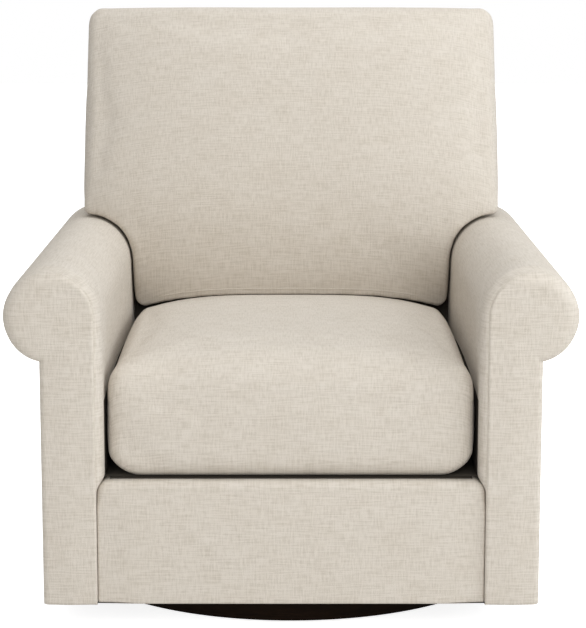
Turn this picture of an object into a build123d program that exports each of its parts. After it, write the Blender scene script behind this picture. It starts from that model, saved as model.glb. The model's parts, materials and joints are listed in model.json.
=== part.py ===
from build123d import *
from math import atan2, cos, radians, sin, sqrt, tan

# Roll-arm swivel armchair with loose seat and back cushions, on a round plinth.
# Millimetres. The chair faces -Y and +Z is up; the origin is on the floor at the swivel axis.
# Left and right are as seen from in front of the chair, so right is +X.

# Overall sizes of the upholstered chair
seat_width = 618.0
seat_height = 487.0
arm_height = 612.0
arm_roll_radius = 80.0
arm_width = 101.0
axis_setback = 455.0
deck_depth = 700.0
back_width = 802.0
back_height = 1028.0
back_recline = 15.0
back_top_depth = 58.0
back_foot_depth = 147.0

# Clearances
fit_gap = 0.3
rest_gap = 0.4
cushion_gap = 3.0
shank_fit = 0.05
pivot_fit = 0.05
groove_fit = 0.1
hem_inset = 6.0

# Plinth and the ring it stands on
plinth_radius = 394.0
plinth_thickness = 33.0
plinth_edge_round = 5.0
floor_ring_radius = 372.0
floor_ring_width = 30.0
floor_ring_thickness = 4.0

# Ball-bearing swivel
race_thickness = 6.0
lower_race_radius = 160.0
upper_race_radius = 190.0
ball_circle_radius = 135.0
ball_diameter = 10.0
ball_count = 24
groove_depth = 3.4
cage_width = 18.0
cage_thickness = 2.0
pivot_diameter = 16.0
pivot_hex_across = 24.0
pivot_head_height = 10.0
pivot_head_recess = 2.0
pivot_end_length = 3.0
pivot_clearance = 2.0
bush_wall = 4.0
bush_flange_width = 6.0
bush_flange_thickness = 2.5
washer_radius = 16.0
washer_thickness = 3.0
pivot_nut_height = 13.0
race_screw_count = 6
race_screw_circle = 105.0
race_screw_diameter = 5.0
race_screw_head_diameter = 10.0
race_screw_length = 28.0
race_bolt_count = 4
race_bolt_circle = 176.0
race_bolt_diameter = 6.0
race_bolt_hex_across = 10.0
race_bolt_head_height = 4.0
race_nut_height = 5.0

# Timber seat box
dust_cover_thickness = 0.8
mount_board_size = 420.0
mount_board_thickness = 18.0
rail_thickness = 25.0
rail_height = 190.0
cross_rail_width = 50.0
cross_rail_height = 45.0
cross_rail_spacing = 325.0
corner_block_leg = 70.0
corner_block_height = 60.0

# Seat springs, deck and front border
spring_count = 5
spring_spacing = 112.0
spring_turns = 20
spring_run = 30.0
spring_wire_diameter = 3.8
clip_width = 20.0
clip_length = 14.0
clip_height = 7.0
deck_thickness = 11.5
deck_tuck = 20.0
border_setback = 8.0
border_thickness = 42.0
border_side_gap = 2.0
border_corner_round = 20.0
border_edge_round = 9.0

# Rolled arms
facing_thickness = 12.0
facing_reveal = 6.0
facing_edge_round = 4.0
pad_thickness = 28.0
pad_front_round = 11.0
outside_panel_thickness = 4.0
rear_cap_thickness = 5.0
front_board_thickness = 20.0
former_wall = 6.0
arm_rail_height = 40.0

# Back frame
lining_thickness = 8.0
webbing_thickness = 2.0
webbing_width = 50.0
webbing_count = 4
post_thickness = 25.0
back_rail_height = 60.0
back_rail_thickness = 22.0
lower_rail_lift = 12.0
top_panel_thickness = 8.0
side_panel_thickness = 4.0
outside_back_thickness = 5.0
frame_drop = 10.0

# Loose cushions
cover_thickness = 3.0
cover_gap = 0.3
seat_front_setback = 23.0
seat_crown_radius = 2600.0
seat_crown_setback = 355.0
seat_corner_round = 40.0
seat_edge_round = 30.0
seat_base_round = 24.0
seat_side_draw = 4.0
back_cushion_width = 800.0
back_cushion_thickness = 176.0
back_crown_radius = 3200.0
back_corner_round = 36.0
back_edge_round = 24.0
back_base_round = 16.0
back_wing_round = 34.0
back_top_draw = 6.0
back_side_draw = 3.0

# Levels, from the floor up
plinth_bottom = floor_ring_thickness
plinth_top = plinth_bottom + plinth_thickness
lower_race_top = plinth_top + race_thickness
groove_radius = ball_diameter / 2 + groove_fit
ball_level = lower_race_top + groove_radius - groove_depth
upper_race_bottom = ball_level + groove_radius - groove_depth
upper_race_top = upper_race_bottom + race_thickness
frame_bottom = upper_race_top + dust_cover_thickness
mount_board_top = frame_bottom + mount_board_thickness
rail_top = frame_bottom + rail_height
spring_level = rail_top + clip_height / 2
deck_bottom = rail_top + clip_height + fit_gap
deck_top = deck_bottom + deck_thickness
seat_base = deck_top + rest_gap

# Arms: places across the chair, then from front to rear
arm_inner = seat_width / 2
arm_outer = arm_inner + arm_width
roll_x = arm_inner + arm_roll_radius
roll_z = arm_height - arm_roll_radius
facing_radius = arm_roll_radius - facing_reveal
facing_x = roll_x + facing_reveal
facing_inner = facing_x - facing_radius
core_radius = arm_roll_radius - pad_thickness
former_radius = core_radius - fit_gap
panel_inner = arm_outer - outside_panel_thickness
panel_top = roll_z - sqrt(arm_roll_radius**2 - (panel_inner - roll_x) ** 2) - fit_gap
roll_end_z = roll_z - sqrt(arm_roll_radius**2 - (arm_outer - roll_x) ** 2)
board_outer = panel_inner - fit_gap
arm_front = -axis_setback
facing_back = arm_front + facing_thickness
front_board_back = facing_back + front_board_thickness
border_front = arm_front + border_setback
border_back = border_front + border_thickness
border_half = facing_inner - border_side_gap
front_rail_back = border_back + rail_thickness
side_rail_inner = board_outer - rail_thickness
pad_bottom = deck_top + rest_gap

# Back: the lining's front face is the reclined plane through the rear edge of the seat deck
recline = radians(back_recline)
lining_foot = arm_front + deck_depth
back_half = back_width / 2
side_panel_inner = back_half - side_panel_thickness
post_outer = side_panel_inner - fit_gap
post_inner = post_outer - post_thickness
back_cushion_rise = (back_height - deck_top - back_cushion_thickness * sin(recline)) / cos(recline)
frame_rise = back_cushion_rise - frame_drop
inner_rise = frame_rise - top_panel_thickness
rear_foot = lining_foot + back_foot_depth
frame_top_y = lining_foot + frame_rise * sin(recline)
frame_top_z = deck_top + frame_rise * cos(recline)
rake = atan2(frame_top_y + back_top_depth - rear_foot, frame_top_z - frame_bottom)
back_plane = Plane((0, lining_foot, deck_top), (1, 0, 0), (0, -cos(recline), sin(recline)))
rear_plane = Plane((0, rear_foot, frame_bottom), (-1, 0, 0), (0, cos(rake), -sin(rake)))
top_direction = (0, sin(recline), cos(recline))
top_plane = Plane((0, frame_top_y, frame_top_z), (1, 0, 0), top_direction)
inner_top_plane = top_plane.offset(-top_panel_thickness)
webbing_back = lining_thickness + webbing_thickness
arm_reach = rear_foot + back_height * tan(rake) - arm_front


def lining_y(z, depth):
    """Y of the plane that lies depth behind the lining's front face, at height z."""
    return lining_foot + (z - deck_top) * tan(recline) + depth / cos(recline)


def outside_y(z, depth):
    """Y of the plane that lies depth in front of the outside back's face, at height z."""
    return rear_foot + (z - frame_bottom) * tan(rake) - depth / cos(rake)


def front_plane(y):
    """Upright plane at depth y, seen from the front: local x is X and local y is Z."""
    return Plane((0, y, 0), (1, 0, 0), (0, -1, 0))


def board(x_range, y_range, z_range):
    """Add a square-edged board between these limits to the part being built."""
    limits = (x_range, y_range, z_range)
    with Locations(tuple((low + high) / 2 for low, high in limits)):
        Box(*(high - low for low, high in limits))


def arm_section(y, inner, radius, outer, bottom):
    """Sketch of an arm seen from the front: an upright with a roll on top, flush inside."""
    with BuildSketch(front_plane(y)) as section_sketch:
        with Locations(((inner + outer) / 2, (bottom + roll_z) / 2)):
            Rectangle(outer - inner, roll_z - bottom)
        with Locations((inner + radius, roll_z)):
            Circle(radius)
    return section_sketch.sketch


def arms_section(gap):
    """Sketch of all that lies within gap of either padded arm, seen from the front."""
    with BuildSketch(front_plane(arm_front)) as section_sketch:
        with Locations((arm_inner - gap + arm_width, roll_z / 2)):
            Rectangle(2 * arm_width, roll_z)
        with Locations((roll_x, roll_z)):
            Circle(arm_roll_radius + gap)
        mirror(about=Plane.YZ)
    return section_sketch.sketch


def back_space(front_depth):
    """Side view of the space behind the plane front_depth behind the lining's front face."""
    with BuildSketch(Plane.YZ) as space_sketch:
        with BuildLine():
            Polyline(
                (lining_y(0, front_depth), 0),
                (lining_y(back_height, front_depth), back_height),
                (lining_y(back_height, front_depth) + deck_depth, back_height),
                (lining_y(0, front_depth) + deck_depth, 0),
                close=True,
            )
        make_face()
    return space_sketch.sketch


def save(piece, node):
    """Label a finished piece and write it under its node's name."""
    piece.part.label = node
    export_step(piece.part, f"parts/{node}.step")


def save_pair(piece, node):
    """Write a right-hand piece, and its mirror image as the left-hand one."""
    with BuildPart() as twin:
        mirror(piece.part, about=Plane.YZ)
    save(piece, f"{node}_right")
    save(twin, f"{node}_left")


# Ring that the plinth stands on
with BuildPart() as floor_ring:
    with BuildSketch():
        Circle(floor_ring_radius)
        Circle(floor_ring_radius - floor_ring_width, mode=Mode.SUBTRACT)
    extrude(amount=floor_ring_thickness)
save(floor_ring, "floor_ring")

# Turned plinth, with a pocket below for the pivot bolt's head
pivot_radius = pivot_diameter / 2
pivot_seat = plinth_bottom + pivot_head_recess + pivot_head_height
pivot_pocket_radius = pivot_hex_across / sqrt(3) + pivot_clearance
screw_radius = race_screw_diameter / 2
screw_head_radius = race_screw_head_diameter / 2
screw_head_depth = screw_head_radius - screw_radius
screw_tip = lower_race_top - race_screw_length
with BuildPart() as plinth:
    with BuildSketch(Plane.XY.offset(plinth_bottom)):
        Circle(plinth_radius)
    extrude(amount=plinth_thickness)
    fillet(plinth.faces().sort_by(Axis.Z)[-1].edges(), radius=plinth_edge_round)
    with BuildSketch(Plane.XY.offset(plinth_bottom)):
        Circle(pivot_pocket_radius)
    extrude(amount=pivot_seat - plinth_bottom, mode=Mode.SUBTRACT)
    Cylinder(pivot_radius + shank_fit, 2 * plinth_top, mode=Mode.SUBTRACT)
    with BuildSketch(Plane.XY.offset(plinth_top)):
        with PolarLocations(race_screw_circle, race_screw_count):
            Circle(screw_radius + shank_fit)
    extrude(amount=screw_tip - plinth_top, mode=Mode.SUBTRACT)
save(plinth, "plinth")

# Lower race, screwed to the plinth, with the balls' groove in its top
with BuildPart() as lower_race:
    with BuildSketch(Plane.XY.offset(plinth_top)):
        Circle(lower_race_radius)
        Circle(pivot_radius + shank_fit, mode=Mode.SUBTRACT)
    extrude(amount=race_thickness)
    with Locations((0, 0, ball_level)):
        Torus(ball_circle_radius, groove_radius, mode=Mode.SUBTRACT)
    with Locations(Plane.XY.offset(lower_race_top)):
        with PolarLocations(race_screw_circle, race_screw_count):
            CounterSinkHole(screw_radius + shank_fit, screw_head_radius + shank_fit, race_thickness)
save(lower_race, "lower_race")

with BuildPart() as race_screws:
    with Locations(Plane.XY.offset(lower_race_top)):
        with PolarLocations(race_screw_circle, race_screw_count):
            Cylinder(screw_radius, race_screw_length, align=(Align.CENTER, Align.CENTER, Align.MAX))
            Cone(
                screw_radius,
                screw_head_radius,
                screw_head_depth,
                align=(Align.CENTER, Align.CENTER, Align.MAX),
            )
save(race_screws, "race_screws")

# Balls and the flat cage that spaces them
with BuildPart() as bearing_balls:
    with Locations((0, 0, ball_level)):
        with PolarLocations(ball_circle_radius, ball_count):
            Sphere(ball_diameter / 2)
save(bearing_balls, "bearing_balls")

with BuildPart() as ball_cage:
    with BuildSketch(Plane.XY.offset(ball_level - cage_thickness / 2)):
        Circle(ball_circle_radius + cage_width / 2)
        Circle(ball_circle_radius - cage_width / 2, mode=Mode.SUBTRACT)
        with PolarLocations(ball_circle_radius, ball_count):
            Circle(groove_radius, mode=Mode.SUBTRACT)
    extrude(amount=cage_thickness)
save(ball_cage, "ball_cage")

# Upper race, bolted under the mounting board
bolt_radius = race_bolt_diameter / 2
with BuildPart() as upper_race:
    with BuildSketch(Plane.XY.offset(upper_race_bottom)):
        Circle(upper_race_radius)
        Circle(pivot_radius + pivot_clearance, mode=Mode.SUBTRACT)
        with PolarLocations(race_bolt_circle, race_bolt_count, start_angle=45):
            Circle(bolt_radius + shank_fit, mode=Mode.SUBTRACT)
    extrude(amount=race_thickness)
    with Locations((0, 0, ball_level)):
        Torus(ball_circle_radius, groove_radius, mode=Mode.SUBTRACT)
save(upper_race, "upper_race")

with BuildPart() as race_bolts:
    with BuildSketch(Plane.XY.offset(upper_race_bottom)):
        with PolarLocations(race_bolt_circle, race_bolt_count, start_angle=45):
            RegularPolygon(race_bolt_hex_across / 2, 6, major_radius=False)
    extrude(amount=-race_bolt_head_height)
    with BuildSketch(Plane.XY.offset(upper_race_bottom)):
        with PolarLocations(race_bolt_circle, race_bolt_count, start_angle=45):
            Circle(bolt_radius)
    extrude(amount=mount_board_top + race_nut_height - upper_race_bottom)
save(race_bolts, "race_bolts")

with BuildPart() as race_nuts:
    with BuildSketch(Plane.XY.offset(mount_board_top)):
        with PolarLocations(race_bolt_circle, race_bolt_count, start_angle=45):
            RegularPolygon(race_bolt_hex_across / 2, 6, major_radius=False)
            Circle(bolt_radius + shank_fit, mode=Mode.SUBTRACT)
    extrude(amount=race_nut_height)
save(race_nuts, "race_nuts")

# Pivot bolt up from the plinth, with the bush, washer and nut that keep the chair on it
bush_radius = pivot_radius + pivot_fit + bush_wall
bush_top = mount_board_top + bush_flange_thickness
washer_bottom = bush_top + fit_gap
pivot_nut_bottom = washer_bottom + washer_thickness
pivot_end = pivot_nut_bottom + pivot_nut_height + pivot_end_length
with BuildPart() as pivot_bolt:
    with BuildSketch(Plane.XY.offset(pivot_seat)):
        RegularPolygon(pivot_hex_across / 2, 6, major_radius=False)
    extrude(amount=-pivot_head_height)
    with BuildSketch(Plane.XY.offset(pivot_seat)):
        Circle(pivot_radius)
    extrude(amount=pivot_end - pivot_seat)
save(pivot_bolt, "pivot_bolt")

with BuildPart() as pivot_bush:
    with BuildSketch(Plane.XY.offset(frame_bottom)):
        Circle(bush_radius)
    extrude(amount=bush_top - frame_bottom)
    with BuildSketch(Plane.XY.offset(mount_board_top)):
        Circle(bush_radius + bush_flange_width)
    extrude(amount=bush_flange_thickness)
    Cylinder(pivot_radius + pivot_fit, 2 * pivot_end, mode=Mode.SUBTRACT)
save(pivot_bush, "pivot_bush")

with BuildPart() as pivot_washer:
    with BuildSketch(Plane.XY.offset(washer_bottom)):
        Circle(washer_radius)
        Circle(pivot_radius + shank_fit, mode=Mode.SUBTRACT)
    extrude(amount=washer_thickness)
save(pivot_washer, "pivot_washer")

with BuildPart() as pivot_nut:
    with BuildSketch(Plane.XY.offset(pivot_nut_bottom)):
        RegularPolygon(pivot_hex_across / 2, 6, major_radius=False)
        Circle(pivot_radius + shank_fit, mode=Mode.SUBTRACT)
    extrude(amount=pivot_nut_height)
save(pivot_nut, "pivot_nut")

# Dust cover over the whole underside
with BuildPart() as dust_cover:
    with BuildSketch(Plane.XY.offset(upper_race_top)):
        with Locations((0, (arm_front + rear_foot) / 2)):
            Rectangle(2 * (arm_outer - hem_inset), rear_foot - arm_front - 2 * hem_inset)
        Circle(pivot_radius + pivot_clearance, mode=Mode.SUBTRACT)
        with PolarLocations(race_bolt_circle, race_bolt_count, start_angle=45):
            Circle(bolt_radius + shank_fit, mode=Mode.SUBTRACT)
    extrude(amount=dust_cover_thickness)
save(dust_cover, "dust_cover")

# Mounting board and the two rails across it
with BuildPart() as mount_board:
    with BuildSketch(Plane.XY.offset(frame_bottom)):
        Rectangle(mount_board_size, mount_board_size)
        Circle(bush_radius + shank_fit, mode=Mode.SUBTRACT)
        with PolarLocations(race_bolt_circle, race_bolt_count, start_angle=45):
            Circle(bolt_radius + shank_fit, mode=Mode.SUBTRACT)
    extrude(amount=mount_board_thickness)
save(mount_board, "mount_board")

with BuildPart() as cross_rails:
    with BuildSketch(Plane.XY.offset(mount_board_top)):
        with GridLocations(0, cross_rail_spacing, 1, 2):
            Rectangle(2 * side_rail_inner, cross_rail_width)
    extrude(amount=cross_rail_height)
save(cross_rails, "cross_rails")

# Rails of the seat box
post_foot = lining_y(deck_top, lining_thickness)
rear_rail_back = post_foot + rail_thickness
with BuildPart() as front_rail:
    board((-side_rail_inner, side_rail_inner), (border_back, front_rail_back), (frame_bottom, rail_top))
save(front_rail, "front_rail")

with BuildPart() as rear_rail:
    board((-post_inner, post_inner), (post_foot, rear_rail_back), (frame_bottom, rail_top))
save(rear_rail, "rear_rail")

with BuildPart() as side_rail:
    board((side_rail_inner, board_outer), (front_board_back, post_foot), (frame_bottom, rail_top))
save_pair(side_rail, "side_rail")

with BuildPart() as corner_blocks:
    with BuildSketch(Plane.XY.offset(rail_top)):
        with BuildLine():
            Polyline(
                (side_rail_inner, front_rail_back),
                (side_rail_inner - corner_block_leg, front_rail_back),
                (side_rail_inner, front_rail_back + corner_block_leg),
                close=True,
            )
        make_face()
        with BuildLine():
            Polyline(
                (side_rail_inner, post_foot),
                (side_rail_inner - corner_block_leg, post_foot),
                (side_rail_inner, post_foot - corner_block_leg),
                close=True,
            )
        make_face()
        mirror(about=Plane.YZ)
    extrude(amount=-corner_block_height)
save(corner_blocks, "corner_blocks")

# Sinuous seat springs, from clips on the front rail to clips on the rear rail
spring_front = (border_back + front_rail_back) / 2
spring_rear = (post_foot + rear_rail_back) / 2
spring_pitch = (spring_rear - spring_front) / spring_turns
spring_places = [spring_spacing * (index - (spring_count - 1) / 2) for index in range(spring_count)]
with BuildPart() as one_spring:
    with BuildLine() as spring_path:
        for turn in range(spring_turns + 1):
            side = 1 if turn % 2 else -1
            run_y = spring_front + turn * spring_pitch
            run_end = (-side * spring_run / 2, run_y, spring_level)
            Line((side * spring_run / 2, run_y, spring_level), run_end)
            if turn < spring_turns:
                bend = (-side * (spring_run + spring_pitch) / 2, run_y + spring_pitch / 2, spring_level)
                ThreePointArc(run_end, bend, (run_end[0], run_y + spring_pitch, spring_level))
    with BuildSketch(Plane((-spring_run / 2, spring_front, spring_level), z_dir=(1, 0, 0))):
        Circle(spring_wire_diameter / 2)
    sweep(path=spring_path.wire())
with BuildPart() as seat_springs:
    with Locations([(place, 0, 0) for place in spring_places]):
        add(one_spring.part)
save(seat_springs, "seat_springs")

with BuildPart() as spring_clips:
    for clip_y in (spring_front, spring_rear):
        with Locations([(place, clip_y, spring_level) for place in spring_places]):
            Box(clip_width, clip_length, clip_height)
            Cylinder(
                spring_wire_diameter / 2 + shank_fit,
                clip_width,
                rotation=(0, 90, 0),
                mode=Mode.SUBTRACT,
            )
save(spring_clips, "spring_clips")

# Seat deck on the springs, and the padded border below the seat cushion
with BuildPart() as seat_deck:
    deck_half = arm_inner + deck_tuck
    board((-deck_half, deck_half), (border_back + fit_gap, lining_foot), (deck_bottom, deck_top))
save(seat_deck, "seat_deck")

with BuildPart() as front_border:
    board((-border_half, border_half), (border_front, border_back), (frame_bottom, deck_top))
    border_top = front_border.faces().sort_by(Axis.Z)[-1]
    fillet(border_top.edges().filter_by(Axis.Y), radius=border_corner_round)
    border_face = front_border.faces().sort_by(Axis.Y)[0]
    rounded = border_face.edges().sort_by(Axis.Z)[1:]
    fillet(rounded, radius=border_edge_round)
save(front_border, "front_border")

# Rolled arm, right side: front facing, padding, outside panel and rear cap
with BuildPart() as arm_facing:
    extrude(
        arm_section(arm_front, facing_inner, facing_radius, arm_outer, frame_bottom),
        amount=-facing_thickness,
    )
    facing_front = arm_facing.faces().sort_by(Axis.Y)[0]
    fillet(facing_front.edges().sort_by(Axis.Z)[1:], radius=facing_edge_round)
save_pair(arm_facing, "arm_facing")

rear_cap_plane = rear_plane.offset(-rear_cap_thickness)
with BuildPart() as arm_pad:
    with BuildSketch(front_plane(facing_back)):
        with Locations((roll_x, roll_z)):
            Circle(arm_roll_radius)
            Circle(core_radius, mode=Mode.SUBTRACT)
        # The roll is open below, from the inside wall round to the outside panel
        with BuildLine():
            Polyline(
                (roll_x, roll_z),
                (roll_x - 2 * arm_roll_radius, roll_z),
                (roll_x - 2 * arm_roll_radius, roll_z - 2 * arm_roll_radius),
                (2 * arm_outer - roll_x, 2 * roll_end_z - roll_z),
                close=True,
            )
        make_face(mode=Mode.SUBTRACT)
        with Locations((arm_inner + pad_thickness / 2, (pad_bottom + roll_z) / 2)):
            Rectangle(pad_thickness, roll_z - pad_bottom)
    extrude(amount=-arm_reach)
    pad_front = arm_pad.faces().sort_by(Axis.Y)[0]
    roll_edge = pad_front.edges().filter_by(GeomType.CIRCLE).sort_by(SortBy.RADIUS)[-1]
    wall_edge = pad_front.edges().filter_by(Axis.Z).sort_by(Axis.X)[0]
    fillet([roll_edge, wall_edge], radius=pad_front_round)
    extrude(back_space(-fit_gap), amount=back_half + fit_gap, both=True, mode=Mode.SUBTRACT)
    split(bisect_by=rear_cap_plane, keep=Keep.BOTTOM)
save_pair(arm_pad, "arm_pad")

with BuildPart() as outside_arm_panel:
    board((panel_inner, arm_outer), (facing_back, facing_back + arm_reach), (frame_bottom, panel_top))
    split(bisect_by=rear_cap_plane, keep=Keep.BOTTOM)
save_pair(outside_arm_panel, "outside_arm_panel")

with BuildPart() as arm_rear_cap:
    extrude(
        arm_section(facing_back, arm_inner, arm_roll_radius, arm_outer, frame_bottom),
        amount=-arm_reach,
    )
    split(bisect_by=rear_plane, keep=Keep.BOTTOM)
    split(bisect_by=rear_cap_plane, keep=Keep.TOP)
    split(bisect_by=Plane.YZ.offset(back_half + fit_gap), keep=Keep.TOP)
save_pair(arm_rear_cap, "arm_rear_cap")

# Timber and former inside the right arm
with BuildPart() as arm_front_board:
    with BuildSketch(front_plane(facing_back)):
        neck_inner = arm_inner + pad_thickness + fit_gap
        with Locations(((facing_inner + board_outer) / 2, (frame_bottom + deck_top) / 2)):
            Rectangle(board_outer - facing_inner, deck_top - frame_bottom)
        with Locations(((neck_inner + board_outer) / 2, (deck_top + panel_top) / 2)):
            Rectangle(board_outer - neck_inner, panel_top - deck_top)
        with Locations(((neck_inner + roll_x) / 2, (panel_top + roll_z) / 2)):
            Rectangle(roll_x - neck_inner, roll_z - panel_top)
        with Locations((roll_x, roll_z)):
            Circle(former_radius)
    extrude(amount=-front_board_thickness)
save_pair(arm_front_board, "arm_front_board")

with BuildPart() as arm_former:
    with BuildSketch(front_plane(front_board_back)):
        with Locations((roll_x, roll_z)):
            Circle(former_radius)
            Circle(former_radius - former_wall, mode=Mode.SUBTRACT)
    extrude(amount=-arm_reach)
    extrude(back_space(-fit_gap), amount=back_half + fit_gap, both=True, mode=Mode.SUBTRACT)
    split(bisect_by=rear_cap_plane, keep=Keep.BOTTOM)
save_pair(arm_former, "arm_former")

with BuildPart() as arm_rail:
    arm_rail_z = (roll_z - arm_rail_height / 2, roll_z + arm_rail_height / 2)
    board((post_inner, post_outer), (front_board_back, front_board_back + arm_reach), arm_rail_z)
    split(bisect_by=back_plane.offset(-lining_thickness), keep=Keep.TOP)
save_pair(arm_rail, "arm_rail")

# Back frame: posts, rails and webbing behind the lining
with BuildPart() as back_post:
    with BuildSketch(Plane.YZ.offset(post_inner)):
        with BuildLine():
            Polyline(
                (post_foot, frame_bottom),
                (post_foot, deck_top),
                (lining_y(back_height, lining_thickness), back_height),
                (outside_y(back_height, outside_back_thickness), back_height),
                (outside_y(frame_bottom, outside_back_thickness), frame_bottom),
                close=True,
            )
        make_face()
    extrude(amount=post_thickness)
    split(bisect_by=inner_top_plane, keep=Keep.BOTTOM)
save_pair(back_post, "back_post")

with BuildPart() as back_top_rail:
    with BuildSketch(back_plane.offset(-webbing_back)):
        with Locations((0, inner_rise - back_rail_height / 2)):
            Rectangle(2 * post_inner, back_rail_height)
    extrude(amount=-back_rail_thickness)
save(back_top_rail, "back_top_rail")

with BuildPart() as back_lower_rail:
    with BuildSketch(back_plane.offset(-webbing_back)):
        with Locations((0, lower_rail_lift + back_rail_height / 2)):
            Rectangle(2 * post_inner, back_rail_height)
    extrude(amount=-back_rail_thickness)
save(back_lower_rail, "back_lower_rail")

webbing_low = lower_rail_lift + back_rail_height
webbing_high = inner_rise - back_rail_height
webbing_pitch = (webbing_high - webbing_low) / webbing_count
with BuildPart() as back_webbing:
    with BuildSketch(back_plane.offset(-lining_thickness)):
        with Locations((0, (webbing_low + webbing_high) / 2)):
            with GridLocations(0, webbing_pitch, 1, webbing_count):
                Rectangle(2 * post_inner, webbing_width)
    extrude(amount=-webbing_thickness)
save(back_webbing, "back_webbing")

# Lining that the back cushion rests on, cut round the arms
with BuildPart() as back_lining:
    with BuildSketch(back_plane):
        with Locations((0, inner_rise / 2)):
            Rectangle(2 * post_outer, inner_rise)
    extrude(amount=-lining_thickness)
    extrude(arms_section(fit_gap), amount=-arm_reach, mode=Mode.SUBTRACT)
    split(bisect_by=Plane.XY.offset(deck_top + fit_gap), keep=Keep.TOP)
save(back_lining, "back_lining")

# Sides, top and outside of the back
with BuildPart() as back_side_panel:
    with BuildSketch(Plane.YZ.offset(side_panel_inner)):
        with BuildLine():
            Polyline(
                (lining_y(roll_z, 0), roll_z),
                (lining_y(back_height, 0), back_height),
                (outside_y(back_height, outside_back_thickness), back_height),
                (outside_y(roll_z, outside_back_thickness), roll_z),
                close=True,
            )
        make_face()
    extrude(amount=side_panel_thickness)
    split(bisect_by=top_plane, keep=Keep.BOTTOM)
save_pair(back_side_panel, "back_side_panel")

with BuildPart() as back_top_panel:
    with BuildSketch(inner_top_plane):
        with Locations((0, back_foot_depth / 2)):
            Rectangle(2 * post_outer, back_foot_depth)
    extrude(amount=top_panel_thickness)
    split(bisect_by=rear_plane.offset(-outside_back_thickness), keep=Keep.BOTTOM)
save(back_top_panel, "back_top_panel")

with BuildPart() as outside_back_panel:
    with BuildSketch(rear_plane):
        with Locations((0, back_height / 2)):
            Rectangle(back_width, back_height)
    extrude(amount=-outside_back_thickness)
    split(bisect_by=top_plane, keep=Keep.BOTTOM)
save(outside_back_panel, "outside_back_panel")


seat_crown_centre = (0, arm_front + seat_crown_setback, seat_height - seat_crown_radius)


def seat_cushion_form(inset):
    """Loose seat cushion, smaller by inset on every side: crowned top and drawn-in sides."""
    half = arm_inner - cushion_gap - inset
    front = arm_front + seat_front_setback + inset
    rear = lining_foot - cushion_gap - inset
    with BuildPart() as form:
        with BuildSketch(Plane.XY.offset(seat_base + inset)) as plan:
            with BuildLine():
                SagittaArc((-half, front), (half, front), seat_side_draw)
                SagittaArc((half, front), (half, rear), seat_side_draw)
                SagittaArc((half, rear), (-half, rear), seat_side_draw)
                SagittaArc((-half, rear), (-half, front), seat_side_draw)
            make_face()
            fillet(plan.vertices(), radius=seat_corner_round - inset)
        extrude(amount=seat_height - seat_base)
        with Locations(seat_crown_centre):
            Sphere(seat_crown_radius - inset, mode=Mode.INTERSECT)
        fillet(form.faces().sort_by(Axis.Z)[-1].edges(), radius=seat_edge_round - inset)
        fillet(form.faces().sort_by(Axis.Z)[0].edges(), radius=seat_base_round - inset)
    return form.part


# Loose seat cushion: foam core in a sewn cover
with BuildPart() as seat_cushion_core:
    add(seat_cushion_form(cover_thickness + cover_gap))
save(seat_cushion_core, "seat_cushion_core")

with BuildPart() as seat_cushion_cover:
    add(seat_cushion_form(0))
    add(seat_cushion_form(cover_thickness), mode=Mode.SUBTRACT)
save(seat_cushion_cover, "seat_cushion_cover")


def back_cushion_form(inset):
    """Loose T-shaped back cushion, smaller by inset on every side, seated on the seat's crown."""
    half = back_cushion_width / 2 - inset
    top = back_cushion_rise - inset
    crown_depth = back_cushion_thickness - back_crown_radius
    crown_centre = back_plane.from_local_coords((0, top / 2, crown_depth))
    gap = cushion_gap + inset
    with BuildPart() as form:
        with BuildSketch(back_plane.offset(rest_gap + inset)) as outline:
            with BuildLine():
                Line((-half, 0), (half, 0))
                SagittaArc((half, 0), (half, top), back_side_draw)
                SagittaArc((half, top), (-half, top), back_top_draw)
                SagittaArc((-half, top), (-half, 0), back_side_draw)
            make_face()
            fillet(outline.vertices().group_by(Axis.Y)[-1], radius=back_corner_round - inset)
        extrude(amount=back_cushion_thickness)
        with Locations(crown_centre):
            Sphere(back_crown_radius - inset, mode=Mode.INTERSECT)
        extrude(arms_section(gap), amount=-arm_reach, mode=Mode.SUBTRACT)
        with Locations(seat_crown_centre):
            Sphere(seat_crown_radius + rest_gap + inset, mode=Mode.SUBTRACT)
        for side in (-1, 1):
            wing_edges = form.edges().filter_by(lambda edge: side * edge.center().X > half - back_wing_round)
            fillet(wing_edges.sort_by(Axis.Z)[0], radius=back_wing_round - inset)
            foot_edges = form.edges().filter_by(
                lambda edge: abs(side * edge.center().X - arm_inner + gap) < fit_gap
            )
            fillet(foot_edges.sort_by(Axis.Z)[0], radius=back_wing_round - inset)
        front_face = form.faces().filter_by(GeomType.SPHERE).sort_by(SortBy.AREA)[-1]
        fillet(front_face.edges(), radius=back_edge_round - inset)
        rear_face = form.faces().filter_by(GeomType.PLANE).sort_by(SortBy.AREA)[-1]
        fillet(rear_face.edges(), radius=back_base_round - inset)
    return form.part


# Loose back cushion: foam core in a sewn cover
with BuildPart() as back_cushion_core:
    add(back_cushion_form(cover_thickness + cover_gap))
save(back_cushion_core, "back_cushion_core")

with BuildPart() as back_cushion_cover:
    add(back_cushion_form(0))
    add(back_cushion_form(cover_thickness), mode=Mode.SUBTRACT)
save(back_cushion_cover, "back_cushion_cover")
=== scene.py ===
"""Upholstery, cushions and finishes for a roll-arm swivel armchair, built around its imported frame.

Metres. The chair faces -Y and +Z is up; left and right are as seen from in front of the chair.
"""
import json
from math import atan2, cos, pi, radians, sin, tan
import bmesh
import bpy
import numpy as np
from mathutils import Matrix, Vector
from mathutils.bvhtree import BVHTree


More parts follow.
